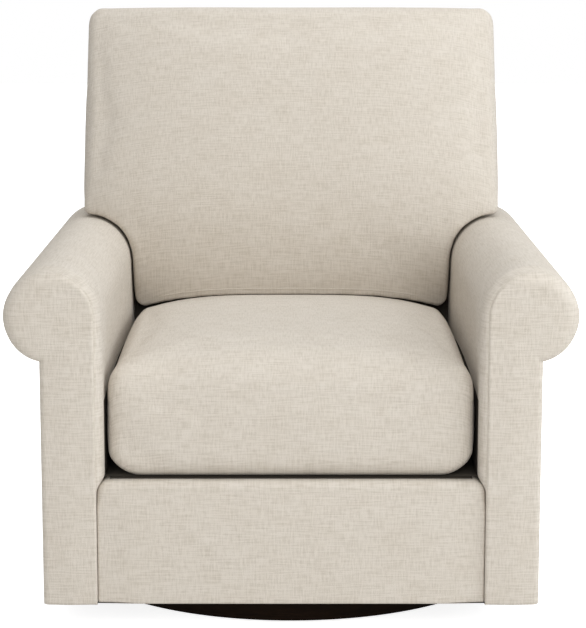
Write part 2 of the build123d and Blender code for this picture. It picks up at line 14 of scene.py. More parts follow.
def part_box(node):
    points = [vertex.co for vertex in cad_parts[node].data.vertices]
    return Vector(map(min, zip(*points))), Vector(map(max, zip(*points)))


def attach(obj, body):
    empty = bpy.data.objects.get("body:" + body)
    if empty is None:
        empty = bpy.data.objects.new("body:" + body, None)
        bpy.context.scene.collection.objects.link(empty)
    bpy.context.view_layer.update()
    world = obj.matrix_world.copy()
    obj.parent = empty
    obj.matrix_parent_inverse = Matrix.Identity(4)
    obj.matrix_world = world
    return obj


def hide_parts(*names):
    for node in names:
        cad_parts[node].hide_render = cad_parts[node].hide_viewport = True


bl_info = {
    "name": "Roll-arm swivel armchair",
    "version": (1, 0, 0),
    "blender": (4, 5, 0),
    "location": "View3D > Sidebar > Armchair",
    "description": "Upholstery, cushions and finishes around the frame of a swivel armchair",
    "category": "Add Mesh",
}

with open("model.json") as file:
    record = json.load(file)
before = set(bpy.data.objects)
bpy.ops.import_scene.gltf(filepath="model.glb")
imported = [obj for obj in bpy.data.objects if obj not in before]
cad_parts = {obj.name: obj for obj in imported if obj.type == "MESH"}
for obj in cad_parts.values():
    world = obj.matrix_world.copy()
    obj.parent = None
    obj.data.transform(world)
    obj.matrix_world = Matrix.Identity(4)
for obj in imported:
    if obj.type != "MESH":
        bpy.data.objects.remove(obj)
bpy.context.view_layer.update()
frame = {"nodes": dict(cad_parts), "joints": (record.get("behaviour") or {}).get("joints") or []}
SIDES = {"right": 1.0, "left": -1.0}
WEAVE = "weave"
WHITE = (1.0, 1.0, 1.0)

# Places that come from the frame
pad_low, pad_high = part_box("arm_pad_right")
facing_low, facing_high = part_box("arm_facing_right")
panel_low, panel_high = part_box("outside_arm_panel_right")
border_low, border_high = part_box("front_border")
deck_low, deck_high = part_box("seat_deck")
side_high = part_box("back_side_panel_right")[1]
lining_low, lining_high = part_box("back_lining")
seat_low, seat_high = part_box("seat_cushion_cover")
dust_low, dust_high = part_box("dust_cover")
top_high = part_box("back_top_panel")[1]
strap_low, strap_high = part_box("back_webbing")
back_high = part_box("back_cushion_cover")[1]

HEM = facing_low.z - 0.003
ARM_FRONT = facing_low.y
ARM_INNER = pad_low.x
ARM_OUTER = panel_high.x
ROLL_RADIUS = (pad_high.x - pad_low.x) / 2
ROLL_X = pad_low.x + ROLL_RADIUS
ROLL_Z = pad_high.z - ROLL_RADIUS
FACING_RADIUS = (facing_high.x - facing_low.x) / 2
FACING_X = facing_low.x + FACING_RADIUS
DECK_TOP = deck_high.z
LINING_FOOT = deck_high.y
BACK_HALF = side_high.x
lift = next(joint for joint in frame["joints"] if joint["name"] == "back_cushion_lift")
RECLINE = atan2(lift["axis"][1], lift["axis"][2])

# Fits between neighbours: the clearance of cloth that touches, the inner edge of the arms' rear ends, the
# line where the back cushion stands on the seat, and the fall of the deck's edges with its width
TOUCH = 0.0005
CAP_INNER = BACK_HALF + 0.0003
MEET_Y = 0.19
DECK_FALL, DECK_EDGE = 0.0035, 0.03


class ArmchairSizes(bpy.types.PropertyGroup):
    """Sizes of the upholstery that the frame leaves open."""

    inner_edge: bpy.props.FloatProperty(
        name="Inner seam edge", description="Rounding of the arm facing beside the seat",
        default=0.004, unit="LENGTH")
    outer_edge: bpy.props.FloatProperty(
        name="Outer edge", description="Rounding of the arm facing down the outside of the post",
        default=0.010, unit="LENGTH")
    roll_edge: bpy.props.FloatProperty(
        name="Roll edge", description="Rounding of the arm facing round the roll",
        default=0.022, unit="LENGTH")
    front_roll: bpy.props.FloatProperty(
        name="Front roll", description="Depth over which the padding swells behind the facing",
        default=0.026, unit="LENGTH")
    hem_edge: bpy.props.FloatProperty(
        name="Hem edge", description="Rounding of the cover at the hem", default=0.005, unit="LENGTH")
    seam_radius: bpy.props.FloatProperty(
        name="Seam", description="Radius of the sewn seams", default=0.0011, unit="LENGTH")
    facing_pillow: bpy.props.FloatProperty(
        name="Facing pillow", description="Swell of the arm facings", default=0.002, unit="LENGTH")
    border_pillow: bpy.props.FloatProperty(
        name="Border pillow", description="Swell of the front border", default=0.003, unit="LENGTH")
    panel_pillow: bpy.props.FloatProperty(
        name="Panel pillow", description="Swell of the outside panels", default=0.002, unit="LENGTH")
    wall: bpy.props.FloatProperty(
        name="Padding", description="Thickness of the padding over the arm frame",
        default=0.028, unit="LENGTH")
    rear_foot: bpy.props.FloatProperty(
        name="Rear foot", description="Y of the outside back at the hem", default=0.392, unit="LENGTH")
    rake: bpy.props.FloatProperty(
        name="Rake", description="Lean of the outside back", default=radians(6.14),
        unit="ROTATION")
    voxel: bpy.props.FloatProperty(
        name="Cushion mesh", description="Edge of the cushions' simulated mesh",
        default=0.007, unit="LENGTH")
    seat_swell: bpy.props.FloatProperty(
        name="Seat swell", description="Furthest that filling moves the seat cover",
        default=0.005, unit="LENGTH")
    back_swell: bpy.props.FloatProperty(
        name="Back swell", description="Furthest that filling moves the back cover",
        default=0.005, unit="LENGTH")
    filling_pressure: bpy.props.FloatProperty(
        name="Filling", description="Pressure of the cushions' filling", default=4.0)


class ArmchairColours(bpy.types.PropertyGroup):
    """Colours of the finishes, as linear values."""

    linen: bpy.props.FloatVectorProperty(
        name="Linen", description="Oatmeal linen, the light threads",
        default=(0.70, 0.65, 0.582), subtype="COLOR")
    linen_slub: bpy.props.FloatVectorProperty(
        name="Linen slub", description="Darker flecked threads of the linen",
        default=(0.53, 0.478, 0.405), subtype="COLOR")
    plinth: bpy.props.FloatVectorProperty(
        name="Plinth", description="Dark stained wood of the base",
        default=(0.009, 0.004, 0.0015), subtype="COLOR")
    timber: bpy.props.FloatVectorProperty(
        name="Timber", description="Plain hardwood of the frame",
        default=(0.52, 0.36, 0.20), subtype="COLOR")
    # Lining colour: dark as black platform cloth often is, and dark also as painted shade where the deck, the
    # lining and the sheets beside the seat show in the gaps.
    lining: bpy.props.FloatVectorProperty(
        name="Lining", description="Plain lining cloth of the deck and the back",
        default=(0.07, 0.062, 0.052), subtype="COLOR")


# Grids and meshes


def smooth_step(value):
    """Ramp from 0 to 1 with flat ends, for values from 0 to 1."""
    held = np.clip(value, 0.0, 1.0)
    return held * held * (3.0 - 2.0 * held)


def quarter(depth, radius):
    """How far a rounded edge falls back at this depth inside it: a quarter circle of that radius."""
    lack = np.clip(radius - depth, 0.0, radius)
    return radius - np.sqrt(np.maximum(radius * radius - lack * lack, 0.0))


def clustered(count):
    """Shares from 0 to 1 that crowd towards both ends, by a cosine."""
    return (1.0 - np.cos(np.linspace(0.0, pi, count))) / 2


def spread(count):
    """Shares from -1 to 1 that crowd towards both ends."""
    return 2 * clustered(count) - 1


def path_length(first, second):
    """Length along a flat path up to each of its points: the running sum of its steps."""
    return np.concatenate([[0.0], np.cumsum(np.hypot(np.diff(first), np.diff(second)))])


def patch(x, y, z, u, v):
    """Grid of points with their weave coordinates, as one array of rows, columns and five values."""
    return np.stack(np.broadcast_arrays(x, y, z, u, v), axis=-1).astype(float)


def shell(outer, inner):
    """Closed wall between two grids of one shape: both faces and the four rims between them."""
    borders = ((0, slice(None)), (-1, slice(None)), (slice(None), 0), (slice(None), -1))
    return [outer, inner, *(np.stack([outer[edge], inner[edge]]) for edge in borders)]


def make_piece(name, patches):
    """Mesh object from grid patches: quads between neighbouring points, merged where they meet."""
    corners, quads, start = [], [], 0
    for grid in patches:
        rows, columns = grid.shape[:2]
        index = start + np.arange(rows * columns).reshape(rows, columns)
        cells = (index[:-1, :-1], index[1:, :-1], index[1:, 1:], index[:-1, 1:])
        quads.append(np.stack(cells, axis=-1).reshape(-1, 4))
        corners.append(grid.reshape(-1, 5))
        start += rows * columns
    points, faces = np.concatenate(corners), np.concatenate(quads)
    mesh = bpy.data.meshes.new(name)
    mesh.from_pydata(points[:, :3].tolist(), [], faces.tolist())
    weave = mesh.uv_layers.new(name=WEAVE)
    weave.data.foreach_set("uv", points[faces.ravel(), 3:].astype(np.float32).ravel())
    work = bmesh.new()
    work.from_mesh(mesh)
    bmesh.ops.remove_doubles(work, verts=work.verts, dist=1e-6)
    bmesh.ops.dissolve_degenerate(work, dist=1e-7, edges=work.edges)
    bmesh.ops.recalc_face_normals(work, faces=work.faces)
    work.to_mesh(mesh)
    work.free()
    mesh.shade_smooth()
    piece = bpy.data.objects.new(name, mesh)
    bpy.context.scene.collection.objects.link(piece)
    return piece


def seam_tube(path, radius, ends):
    """Sewn seam along a path of points: circles square to it, turned from the line square to it and to Y.

    The radius runs out to nothing as a square root, over that share of the path at both ends.
    """
    sides, weave_step = 10, 0.0015
    share = np.linspace(0.0, 1.0, len(path))
    reach = radius * np.sqrt(np.clip(np.minimum(share, 1.0 - share) / ends, 0.0, 1.0))
    run = np.gradient(path, axis=0)
    run /= np.linalg.norm(run, axis=1, keepdims=True)
    first = np.cross(run, (0.0, 1.0, 0.0))
    first /= np.linalg.norm(first, axis=1, keepdims=True)
    second = np.cross(run, first)
    turn = np.linspace(0.0, 2 * pi, sides + 1)[:, None, None]
    points = path + reach[:, None] * (np.cos(turn) * first + np.sin(turn) * second)
    length = np.concatenate([[0.0], np.cumsum(np.linalg.norm(np.diff(path, axis=0), axis=1))])
    return patch(points[..., 0], points[..., 1], points[..., 2], length, weave_step * turn[..., 0])


def mirrored(grid, side):
    """The grid on its own side of the chair: X times side."""
    twin = grid.copy()
    twin[..., 0] *= side
    return twin


def dress(piece, material, body, slot, *nodes):
    """Give a finished piece its material and the body it rides on, and hide the nodes it stands for. The slot
    is not used.
    """
    piece.data.materials.clear()
    piece.data.materials.append(material)
    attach(piece, body)
    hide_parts(*nodes)
    return piece


def cloth_piece(name, grids, material, slot, *nodes):
    """Closed wall of cloth between two grids, dressed, on the chair's own body."""
    return dress(make_piece(name, shell(*grids)), material, "chair", slot, *nodes)


def lining_y(z):
    """Y of the lining's front face at height z: a plane reclined from the rear edge of the deck."""
    return LINING_FOOT + (z - DECK_TOP) * tan(RECLINE)


def rear_y(z, sizes):
    """Y of the outside back at height z: a raked plane up from the hem."""
    return sizes.rear_foot + (z - HEM) * tan(sizes.rake)


def facing_edge(x, z, sizes):
    """Rounding of the facing's front edge: small beside the seat, larger outside, largest on the roll."""
    inner_band, across, below_roll, up = 0.012, 0.07, 0.085, 0.06
    outside = smooth_step((x - facing_low.x - inner_band) / across)
    rolled = smooth_step((z - ROLL_Z + below_roll) / up)
    outer = sizes.outer_edge + (sizes.roll_edge - sizes.outer_edge) * rolled
    return sizes.inner_edge + (outer - sizes.inner_edge) * outside


# Materials


def new_material(name):
    """Empty node material, with its tree, shader and output joined."""
    material = bpy.data.materials.new(name)
    material.use_nodes = True
    tree = material.node_tree
    tree.nodes.clear()
    shader = tree.nodes.new("ShaderNodeBsdfPrincipled")
    output = tree.nodes.new("ShaderNodeOutputMaterial")
    tree.links.new(shader.outputs["BSDF"], output.inputs["Surface"])
    return material, tree, shader


def feed(tree, source, target):
    """Set a socket to a number or a plain colour, or link a socket or a node's first output to it."""
    if isinstance(source, (int, float)):
        target.default_value = source
    elif isinstance(source, tuple):
        target.default_value = (*source, 1.0)
    else:
        socket = source if isinstance(source, bpy.types.NodeSocket) else source.outputs[0]
        tree.links.new(socket, target)


def set_inputs(node, values):
    """Set several of a node's inputs by their names."""
    for name, value in values.items():
        node.inputs[name].default_value = value


def math_node(tree, operation, first, second):
    """Result of a math node on two sockets or numbers."""
    node = tree.nodes.new("ShaderNodeMath")
    node.operation = operation
    for value, socket in zip((first, second), node.inputs):
        feed(tree, value, socket)
    return node.outputs[0]


def stretched_noise(tree, place, scale, detail, roughness):
    """Noise stretched by a mapping of its own: scale is in features per metre along each axis."""
    mapping = tree.nodes.new("ShaderNodeMapping")
    noise = tree.nodes.new("ShaderNodeTexNoise")
    set_inputs(mapping, {"Scale": scale})
    set_inputs(noise, {"Scale": 1.0, "Detail": detail, "Roughness": roughness})
    feed(tree, place, mapping.inputs["Vector"])
    feed(tree, mapping, noise.inputs["Vector"])
    return noise.outputs["Fac"]


def ramp(tree, source, stops):
    """Colour ramp between two (place, colour) stops, where a colour may be one grey value."""
    node = tree.nodes.new("ShaderNodeValToRGB")
    for element, (place, colour) in zip(node.color_ramp.elements, stops):
        element.position = place
        element.color = (*colour, 1.0) if isinstance(colour, tuple) else (colour, colour, colour, 1.0)
    feed(tree, source, node.inputs["Fac"])
    return node.outputs["Color"]


def bump(tree, height, shader, strength, distance):
    """Bump from a height, on the shader's normal."""
    node = tree.nodes.new("ShaderNodeBump")
    set_inputs(node, {"Strength": strength, "Distance": distance})
    feed(tree, height, node.inputs["Height"])
    feed(tree, node, shader.inputs["Normal"])


def blend_colours(tree, share, first, second, mode="MIX"):
    """Mix of two colours, each a socket or a plain colour, by a share."""
    node = tree.nodes.new("ShaderNodeMix")
    node.data_type = "RGBA"
    node.blend_type = mode
    for value, number in ((share, 0), (first, 6), (second, 7)):
        feed(tree, value, node.inputs[number])
    return node.outputs[2]


def woven_cloth(name, light, dark, thread, slub_share, relief, sheen):
    """Plain-woven cloth on the weave map: crossing threads, slubs longest along the weft, a faint mottle."""
    material, tree, shader = new_material(name)
    place = tree.nodes.new("ShaderNodeUVMap")
    place.uv_map = WEAVE
    slubs_across = 0.62 / thread
    weft = stretched_noise(tree, place, (26.0, slubs_across, 1.0), 3.0, 0.6)
    warp = stretched_noise(tree, place, (slubs_across, 46.0, 1.0), 3.0, 0.6)
    mottle = stretched_noise(tree, place, (14.0, 22.0, 1.0), 3.0, 0.55)
    waves = []
    for direction in ("X", "Y"):
        wave = tree.nodes.new("ShaderNodeTexWave")
        wave.bands_direction = direction
        set_inputs(wave, {"Scale": 0.314 / thread, "Distortion": 0.6, "Detail Scale": 0.4})
        feed(tree, place, wave.inputs["Vector"])
        waves.append(wave.outputs["Fac"])
    weave = math_node(tree, "MULTIPLY", *waves)
    slubs = math_node(
        tree, "ADD", math_node(tree, "MULTIPLY", weft, 0.52), math_node(tree, "MULTIPLY", warp, 0.48))
    grain = ramp(tree, slubs, [(0.34, dark), (0.56, light)])
    threads = blend_colours(tree, slub_share, light, grain)
    tint = ramp(tree, mottle, [(0.3, (0.965, 0.957, 0.945)), (0.7, WHITE)])
    cloth = blend_colours(tree, 1.0, threads, tint, "MULTIPLY")
    shade = ramp(tree, weave, [(0.0, (0.86, 0.855, 0.845)), (0.45, WHITE)])
    feed(tree, blend_colours(tree, 0.8, cloth, shade, "MULTIPLY"), shader.inputs["Base Color"])
    height = math_node(tree, "ADD", math_node(tree, "MULTIPLY", weave, 0.25), slubs)
    bump(tree, height, shader, relief, 2 * thread)
    set_inputs(shader, {
        "Roughness": 0.92, "Specular IOR Level": 0.1, "Sheen Weight": sheen, "Sheen Roughness": 0.55})
    return material


def wood(name, light, dark, grain_scale, roughness, shine):
    """Wood with growth rings cut lengthwise: noise stretched along the grain, with fine pores."""
    material, tree, shader = new_material(name)
    place = tree.nodes.new("ShaderNodeTexCoord").outputs["Object"]
    figure = stretched_noise(tree, place, grain_scale, 4.0, 0.6)
    pores = stretched_noise(tree, place, tuple(8.0 * value for value in grain_scale), 2.0, 0.7)
    colour = ramp(tree, figure, [(0.32, dark), (0.68, light)])
    fleck = ramp(tree, pores, [(0.36, (0.72, 0.68, 0.64)), (0.5, WHITE)])
    feed(tree, blend_colours(tree, 1.0, colour, fleck, "MULTIPLY"), shader.inputs["Base Color"])
    gloss = ramp(tree, figure, [(0.2, roughness + 0.1), (0.8, roughness)])
    feed(tree, gloss, shader.inputs["Roughness"])
    bump(tree, pores, shader, 0.25, 0.0004)
    set_inputs(shader, {"Specular IOR Level": shine})
    return material


def metal(name, light, dark, roughness, scale):
    """Worked metal: broad tarnish clouds in colour and gloss, with fine scratches as bump."""
    material, tree, shader = new_material(name)
    place = tree.nodes.new("ShaderNodeTexCoord").outputs["Object"]
    clouds = stretched_noise(tree, place, (scale, scale, scale), 4.0, 0.6)
    scratches = stretched_noise(tree, place, (scale * 3, scale * 40, scale * 3), 2.0, 0.5)
    feed(tree, ramp(tree, clouds, [(0.3, dark), (0.7, light)]), shader.inputs["Base Color"])
    gloss = ramp(tree, clouds, [(0.3, roughness + 0.15), (0.7, roughness)])
    feed(tree, gloss, shader.inputs["Roughness"])
    bump(tree, scratches, shader, 0.1, 0.0002)
    set_inputs(shader, {"Metallic": 1.0})
    return material


def moulded(name, light, dark, roughness, scale):
    """Moulded rubber or nylon: a fine pebbled skin with faint colour clouds."""
    material, tree, shader = new_material(name)
    place = tree.nodes.new("ShaderNodeTexCoord").outputs["Object"]
    clouds = stretched_noise(tree, place, (scale, scale, scale), 3.0, 0.5)
    pebble = stretched_noise(tree, place, (scale * 25,) * 3, 2.0, 0.5)
    feed(tree, ramp(tree, clouds, [(0.3, dark), (0.7, light)]), shader.inputs["Base Color"])
    gloss = ramp(tree, pebble, [(0.3, roughness + 0.1), (0.7, roughness - 0.1)])
    feed(tree, gloss, shader.inputs["Roughness"])
    bump(tree, pebble, shader, 0.2, 0.0003)
    return material


def shared(name, make, *facts):
    """The material of that name, made on its first use."""
    return bpy.data.materials.get(name) or make(name, *facts)


def linen(colours):
    """Oatmeal linen of the cover: 1.5 mm threads with darker slubs."""
    light, slub = tuple(colours.linen), tuple(colours.linen_slub)
    return shared("oatmeal_linen", woven_cloth, light, slub, 0.0015, 0.85, 0.4, 0.07)


def lining_cloth(colours):
    """Plain lining: finer, even threads, in a dark colour that is partly the cloth's own and partly painted
    shade in the gaps where it shows.
    """
    light = tuple(colours.lining)
    dark = tuple(0.85 * value for value in light)
    return shared("dark_lining_painted_shade", woven_cloth, light, dark, 0.0008, 0.5, 0.25, 0.0)


# Cushions


def read(items, key, width=3, kind=float):
    """Values of a mesh's vertices, corners or faces: a row for each, or one value where width is 1."""
    values = np.empty(len(items) * width, dtype=kind)
    items.foreach_get(key, values)
    return values if width == 1 else values.reshape(-1, width)


def write_points(mesh, points):
    """Move a mesh's vertices to the points."""
    mesh.vertices.foreach_set("co", points.astype(np.float32).ravel())
    mesh.update()


def fill_cushion(piece, furthest, held, sizes):
    """Swell a cushion by its filling: an even mesh, cloth under pressure, and a cap on the movement.

    held is a function that says which points rest on something and don't move. The sewn edges hold, so
    what draws inwards draws in by a tenth.
    """
    frames, held_back = 20, 0.9
    scene = bpy.context.scene
    bpy.context.view_layer.objects.active = piece
    piece.select_set(True)
    piece.data.remesh_voxel_size = sizes.voxel
    piece.data.remesh_voxel_adaptivity = 0.0
    bpy.ops.object.voxel_remesh()
    piece.select_set(False)
    rest = read(piece.data.vertices, "co")
    normals = read(piece.data.vertex_normals, "vector")
    group = piece.vertex_groups.new(name="rests")
    group.add(np.flatnonzero(held(rest)).tolist(), 1.0, "REPLACE")
    cloth = piece.modifiers.new("filling", "CLOTH")
    settings = cloth.settings
    settings.quality = 4
    settings.mass = 0.3
    settings.tension_stiffness = 40.0
    settings.compression_stiffness = 40.0
    settings.shear_stiffness = 20.0
    settings.bending_stiffness = 8.0
    settings.use_pressure = True
    settings.uniform_pressure_force = sizes.filling_pressure
    settings.vertex_group_mass = group.name
    settings.effector_weights.gravity = 0.0
    cloth.collision_settings.use_collision = False
    cloth.point_cache.frame_start = 1
    cloth.point_cache.frame_end = frames
    for number in range(1, frames + 1):
        scene.frame_set(number)
    filled = piece.evaluated_get(bpy.context.evaluated_depsgraph_get())
    step = read(filled.data.vertices, "co") - rest
    piece.modifiers.remove(cloth)
    piece.vertex_groups.clear()
    scene.frame_set(1)
    inward = np.minimum(np.sum(step * normals, axis=1, keepdims=True), 0.0)
    step = step - held_back * inward * normals
    length = np.maximum(np.linalg.norm(step, axis=1, keepdims=True), 1e-9)
    return rest + step * (furthest * np.tanh(length / furthest) / length)


def settle(piece, points, keep):
    """Put the points into the cushion's mesh, even it out, subdivide it once and lay the weave on it.

    keep is a function that moves points clear of the cushion's neighbours.
    """
    write_points(piece.data, points)
    even = piece.modifiers.new("even", "SMOOTH")
    even.factor = 0.5
    even.iterations = 5
    soften = piece.modifiers.new("soften", "SUBSURF")
    soften.levels = 1
    soften.render_levels = 1
    made = bpy.data.meshes.new_from_object(piece.evaluated_get(bpy.context.evaluated_depsgraph_get()))
    piece.modifiers.clear()
    old, piece.data = piece.data, made
    bpy.data.meshes.remove(old)
    made.name = piece.name
    write_points(made, keep(read(made.vertices, "co")))
    made.shade_smooth()
    lay_weave(made)


def lay_weave(mesh):
    """Weave map of a cushion: X against Y plus Z on its faces, Y against Z on its sides."""
    sideways = 0.75
    corner = read(mesh.loops, "vertex_index", 1, np.int32)
    totals = read(mesh.polygons, "loop_total", 1, np.int32)
    side = np.repeat(np.abs(read(mesh.polygons, "normal")[:, 0]) > sideways, totals)
    x, y, z = read(mesh.vertices, "co")[corner].T
    across = np.where(side, y, x)
    along = np.where(side, z, y + z)
    layer = mesh.uv_layers.get(WEAVE) or mesh.uv_layers.new(name=WEAVE)
    layer.data.foreach_set("uv", np.stack([across, along], axis=-1).astype(np.float32).ravel())


def rounded_plan(half, front, rear, radius, count):
    """Corner centres and outward directions round a rounded rectangle.

    A point lies at its centre plus a reach times its direction.
    """
    turns = np.repeat(np.arange(4), 2) * (pi / 2) + np.tile([0.0, pi / 2], 4)
    centre_x = np.repeat([half - radius, radius - half, radius - half, half - radius], 2)
    centre_y = np.repeat([rear - radius, rear - radius, front + radius, front + radius], 2)
    turns, centre_x, centre_y = (np.append(row, first) for row, first in (
        (turns, 2 * pi), (centre_x, centre_x[0]), (centre_y, centre_y[0])))
    steps = np.hypot(np.diff(centre_x), np.diff(centre_y)) + radius * np.diff(turns)
    reach = np.concatenate([[0.0], np.cumsum(steps)])
    places = np.linspace(0.0, reach[-1], count)
    turn = np.interp(places, reach, turns)
    return np.interp(places, reach, centre_x), np.interp(places, reach, centre_y), np.cos(turn), np.sin(turn)


def seat_crown(x, y):
    """Height of the seat's top before its edges: a square law along Y and the power 3.5 across X."""
    peak_y, front_fall, rear_fall, side_fall = -0.10, 0.16, 0.22, 0.0355
    away = np.asarray(y) - peak_y
    along = np.where(away < 0, front_fall, rear_fall) * away**2
    return seat_high.z - 0.003 - along - side_fall * (np.abs(x) / seat_high.x) ** 3.5


def seat_foot(y):
    """Height of the seat's underside: level on the deck, and lower by the deck's own fall at the border."""
    return seat_low.z - DECK_FALL * (1 - smooth_step((np.asarray(y) - deck_low.y + 0.003) / DECK_EDGE))


def seat_form():
    """Seat cushion before filling: a rounded plan carried up a wall with rounded edges, under a crown.

    The upper edge is rounder along the front than at the sides and tightest at the corners, the lower
    front corners lift, the sides draw in midway and at the rear, and the cushion lies a little to the left.
    """
    corner, foot = 0.028, 0.026
    corner_lift, waist, rear_taper, to_left, fade = 0.018, 0.012, 0.012, 0.001, 0.12
    half, front, rear = seat_high.x - 0.001, seat_low.y + 0.005, seat_high.y - 0.004
    x_c, y_c, x_d, y_d = rounded_plan(half, front, rear, corner, 320)
    middle = (front + rear) / 2
    beside = smooth_step((half - np.abs(x_c)) / fade)
    along = smooth_step((middle - front - np.abs(y_c - middle)) / fade)
    at_front, at_rear = np.maximum(-y_d, 0.0) ** 2 * beside, np.maximum(y_d, 0.0) ** 2 * beside
    at_side = x_d**2 * along
    inward = corner + 0.012 * at_side + 0.050 * at_front + 0.014 * at_rear
    downward = 0.040 + 0.020 * at_side + 0.036 * at_front
    turn = np.linspace(0.0, pi / 2, 14)[:, None]
    sink = np.concatenate([foot * (1 - np.sin(turn)) + 0 * x_c, inward * (1 - np.cos(turn))])
    x, y = x_c + (corner - sink) * x_d, y_c + (corner - sink) * y_d
    edge_x, edge_y = x[-1], y[-1]
    z = np.concatenate([
        seat_low.z + foot * (1 - np.cos(turn)) + 0 * x_c,
        seat_crown(edge_x, edge_y) - downward * (1 - np.sin(turn))])
    shrink = np.linspace(0.0, 1.0, 40)[:, None]
    lid_x, lid_y = edge_x * (1 - shrink), edge_y * (1 - shrink) + middle * shrink
    base_x, base_y = x[0] * (1 - shrink), y[0] * (1 - shrink) + middle * shrink
    grids = [
        patch(x, y, z, x, y + z),
        patch(lid_x, lid_y, seat_crown(lid_x, lid_y), lid_x, lid_y),
        patch(base_x, base_y, seat_low.z, base_x, base_y)]
    for grid in grids:
        x, y, z = np.moveaxis(grid, -1, 0)[:3]
        beside = 1 - smooth_step((half - np.abs(x)) / 0.050)
        ahead = 1 - smooth_step((y - front) / 0.30)
        low = 1 - smooth_step((z - seat_low.z) / 0.09)
        z += (seat_foot(y) - seat_low.z) * low
        z += corner_lift * beside * ahead * low
        x *= 1 - waist * np.maximum(1 - ((y - middle) / (rear - middle)) ** 2, 0.0)
        x *= 1 - rear_taper * smooth_step((y - 0.09) / fade)
        x -= to_left
    return grids


def clear_of_seat_space(points):
    """Keep the seat cushion between the arms, on the deck and in front of the lining."""
    inner = ARM_INNER - 0.0015
    points[:, 0] = np.clip(points[:, 0], -inner, inner)
    points[:, 1] = np.minimum(points[:, 1], seat_high.y)
    points[:, 2] = np.maximum(points[:, 2], seat_foot(points[:, 1]))
    return points


def back_outline(count):
    """Outline of the T-shaped back cushion at the lining, with inward normals and edge roundings.

    It runs from the middle of the foot out to the arm, up the arm's inside, over the roll, round the
    wing's lower corner, up the side and round the top corner to the middle of the top, on both sides.
    The foot follows the seat's crown, the sides lean in and the top dips midway.
    """
    gap, foot_corner, wing_corner, corner = 0.005, 0.020, 0.010, 0.030
    lean, dip, large_edge = 0.0045, 0.006, 0.026
    inner, reach = ARM_INNER - gap, ROLL_RADIUS + gap
    top = DECK_TOP + back_rise() * cos(RECLINE)
    bend = np.linspace(0.0, pi / 2, 24)
    roll_turn = np.linspace(pi, radians(92.0), 50)
    foot_x = np.linspace(0.0, inner - foot_corner, 40)
    foot_z = seat_crown(foot_x, MEET_Y) - 0.003
    roll_x, roll_z = ROLL_X + reach * np.cos(roll_turn), ROLL_Z + reach * np.sin(roll_turn)
    wing_z = roll_z[-1]
    half = BACK_HALF - 0.001
    high = half - lean
    top_x = np.linspace(high - corner, 0.0, 40)[1:]
    parts = (
        (foot_x, foot_z, 0.009),
        (inner - foot_corner * (1 - np.sin(bend)), foot_z[-1] + foot_corner * (1 - np.cos(bend)), 0.011),
        (roll_x, roll_z, 0.009),
        (half - wing_corner + wing_corner * np.sin(bend), wing_z + wing_corner * (1 - np.cos(bend)), 0.012),
        (half - lean * np.linspace(0.1, 0.9, 20),
         np.linspace(wing_z + 0.05, top - corner - 0.03, 20), large_edge),
        (high - corner + corner * np.cos(bend), top - corner + corner * np.sin(bend), large_edge),
        (top_x, top - dip * (1 - (top_x / high) ** 2), large_edge))
    x, z = (np.concatenate([part[i] for part in parts]) for i in (0, 1))
    edge = np.concatenate([np.full(part[0].size, part[2]) for part in parts])
    x = np.concatenate([x, -x[-2::-1]])
    z, edge = (np.concatenate([row, row[-2::-1]]) for row in (z, edge))
    length = path_length(x, z)
    places = np.linspace(0.0, length[-1], count)
    x, z, edge = (np.interp(places, length, row) for row in (x, z, edge))
    soft = np.ones(9) / 9
    edge = np.convolve(np.pad(edge, 4, mode="edge"), soft, mode="valid")
    run_x, run_z = np.gradient(x), np.gradient(z)
    run_x[[0, -1]], run_z[[0, -1]] = run_x[1], 0.0
    size = np.hypot(run_x, run_z)
    return x, z, -run_z / size, run_x / size, edge


def back_rise():
    """Length of the back cushion up the lining, from the deck to its top."""
    above_solid, depth_at_top = 0.003, 0.125
    return (back_high.z + above_solid - DECK_TOP - depth_at_top * sin(RECLINE)) / cos(RECLINE)


def back_form():
    """Back cushion before filling: the T outline carried forwards from the lining, with a crowned face.

    Below, the walls run level over the arms and the seat; at the top they stand square to the lining.
    The face is flat in the middle and falls away as a cube towards its foot, top and sides.
    """
    thick, rear_round, off_lining = 0.168, 0.014, 0.001
    face_middle, face_half = 0.50, 0.27
    side_fall, foot_fall, top_fall = 0.043, 0.060, 0.020
    level_up_to, level_fade = 0.44, 0.20
    x_o, z_o, x_n, z_n, edge = back_outline(460)
    high = (z_o - DECK_TOP) / cos(RECLINE)
    level = 1 - smooth_step((high - level_up_to) / level_fade)
    middle_z = DECK_TOP + 0.42

    def place(x, z, depth, level):
        rise = (z - DECK_TOP) / cos(RECLINE)
        forward = level / cos(RECLINE) + (1 - level) * cos(RECLINE)
        upward = (1 - level) * sin(RECLINE)
        y = LINING_FOOT + rise * sin(RECLINE) - depth * forward
        up = DECK_TOP + rise * cos(RECLINE) + depth * upward
        return patch(x, y, up, x, y + up)

    def face(x, z):
        across = np.abs(x) / BACK_HALF
        up = ((z - DECK_TOP) / cos(RECLINE) - face_middle) / face_half
        return thick - side_fall * across**3 - np.where(up < 0, foot_fall, top_fall) * np.abs(up) ** 3

    turn = np.linspace(0.0, pi / 2, 14)[:, None]
    sink = np.concatenate([rear_round * (1 - np.sin(turn)) + 0 * x_o, edge * (1 - np.cos(turn))])
    x, z = x_o + sink * x_n, z_o + sink * z_n
    depth = np.concatenate([
        off_lining + rear_round * (1 - np.cos(turn)) + 0 * x_o,
        face(x[-1], z[-1]) - edge * (1 - np.sin(turn))])
    wall = place(x, z, depth, level)
    shrink = np.linspace(0.0, 1.0, 50)[:, None]

    def disc(row):
        return x[row] * (1 - shrink), z[row] * (1 - shrink) + middle_z * shrink

    face_x, face_z = disc(-1)
    rear_x, rear_z = disc(0)
    lid = place(face_x, face_z, face(face_x, face_z), level * (1 - shrink))
    base = place(rear_x, rear_z, off_lining, level * (1 - shrink))
    return [wall, lid, base]


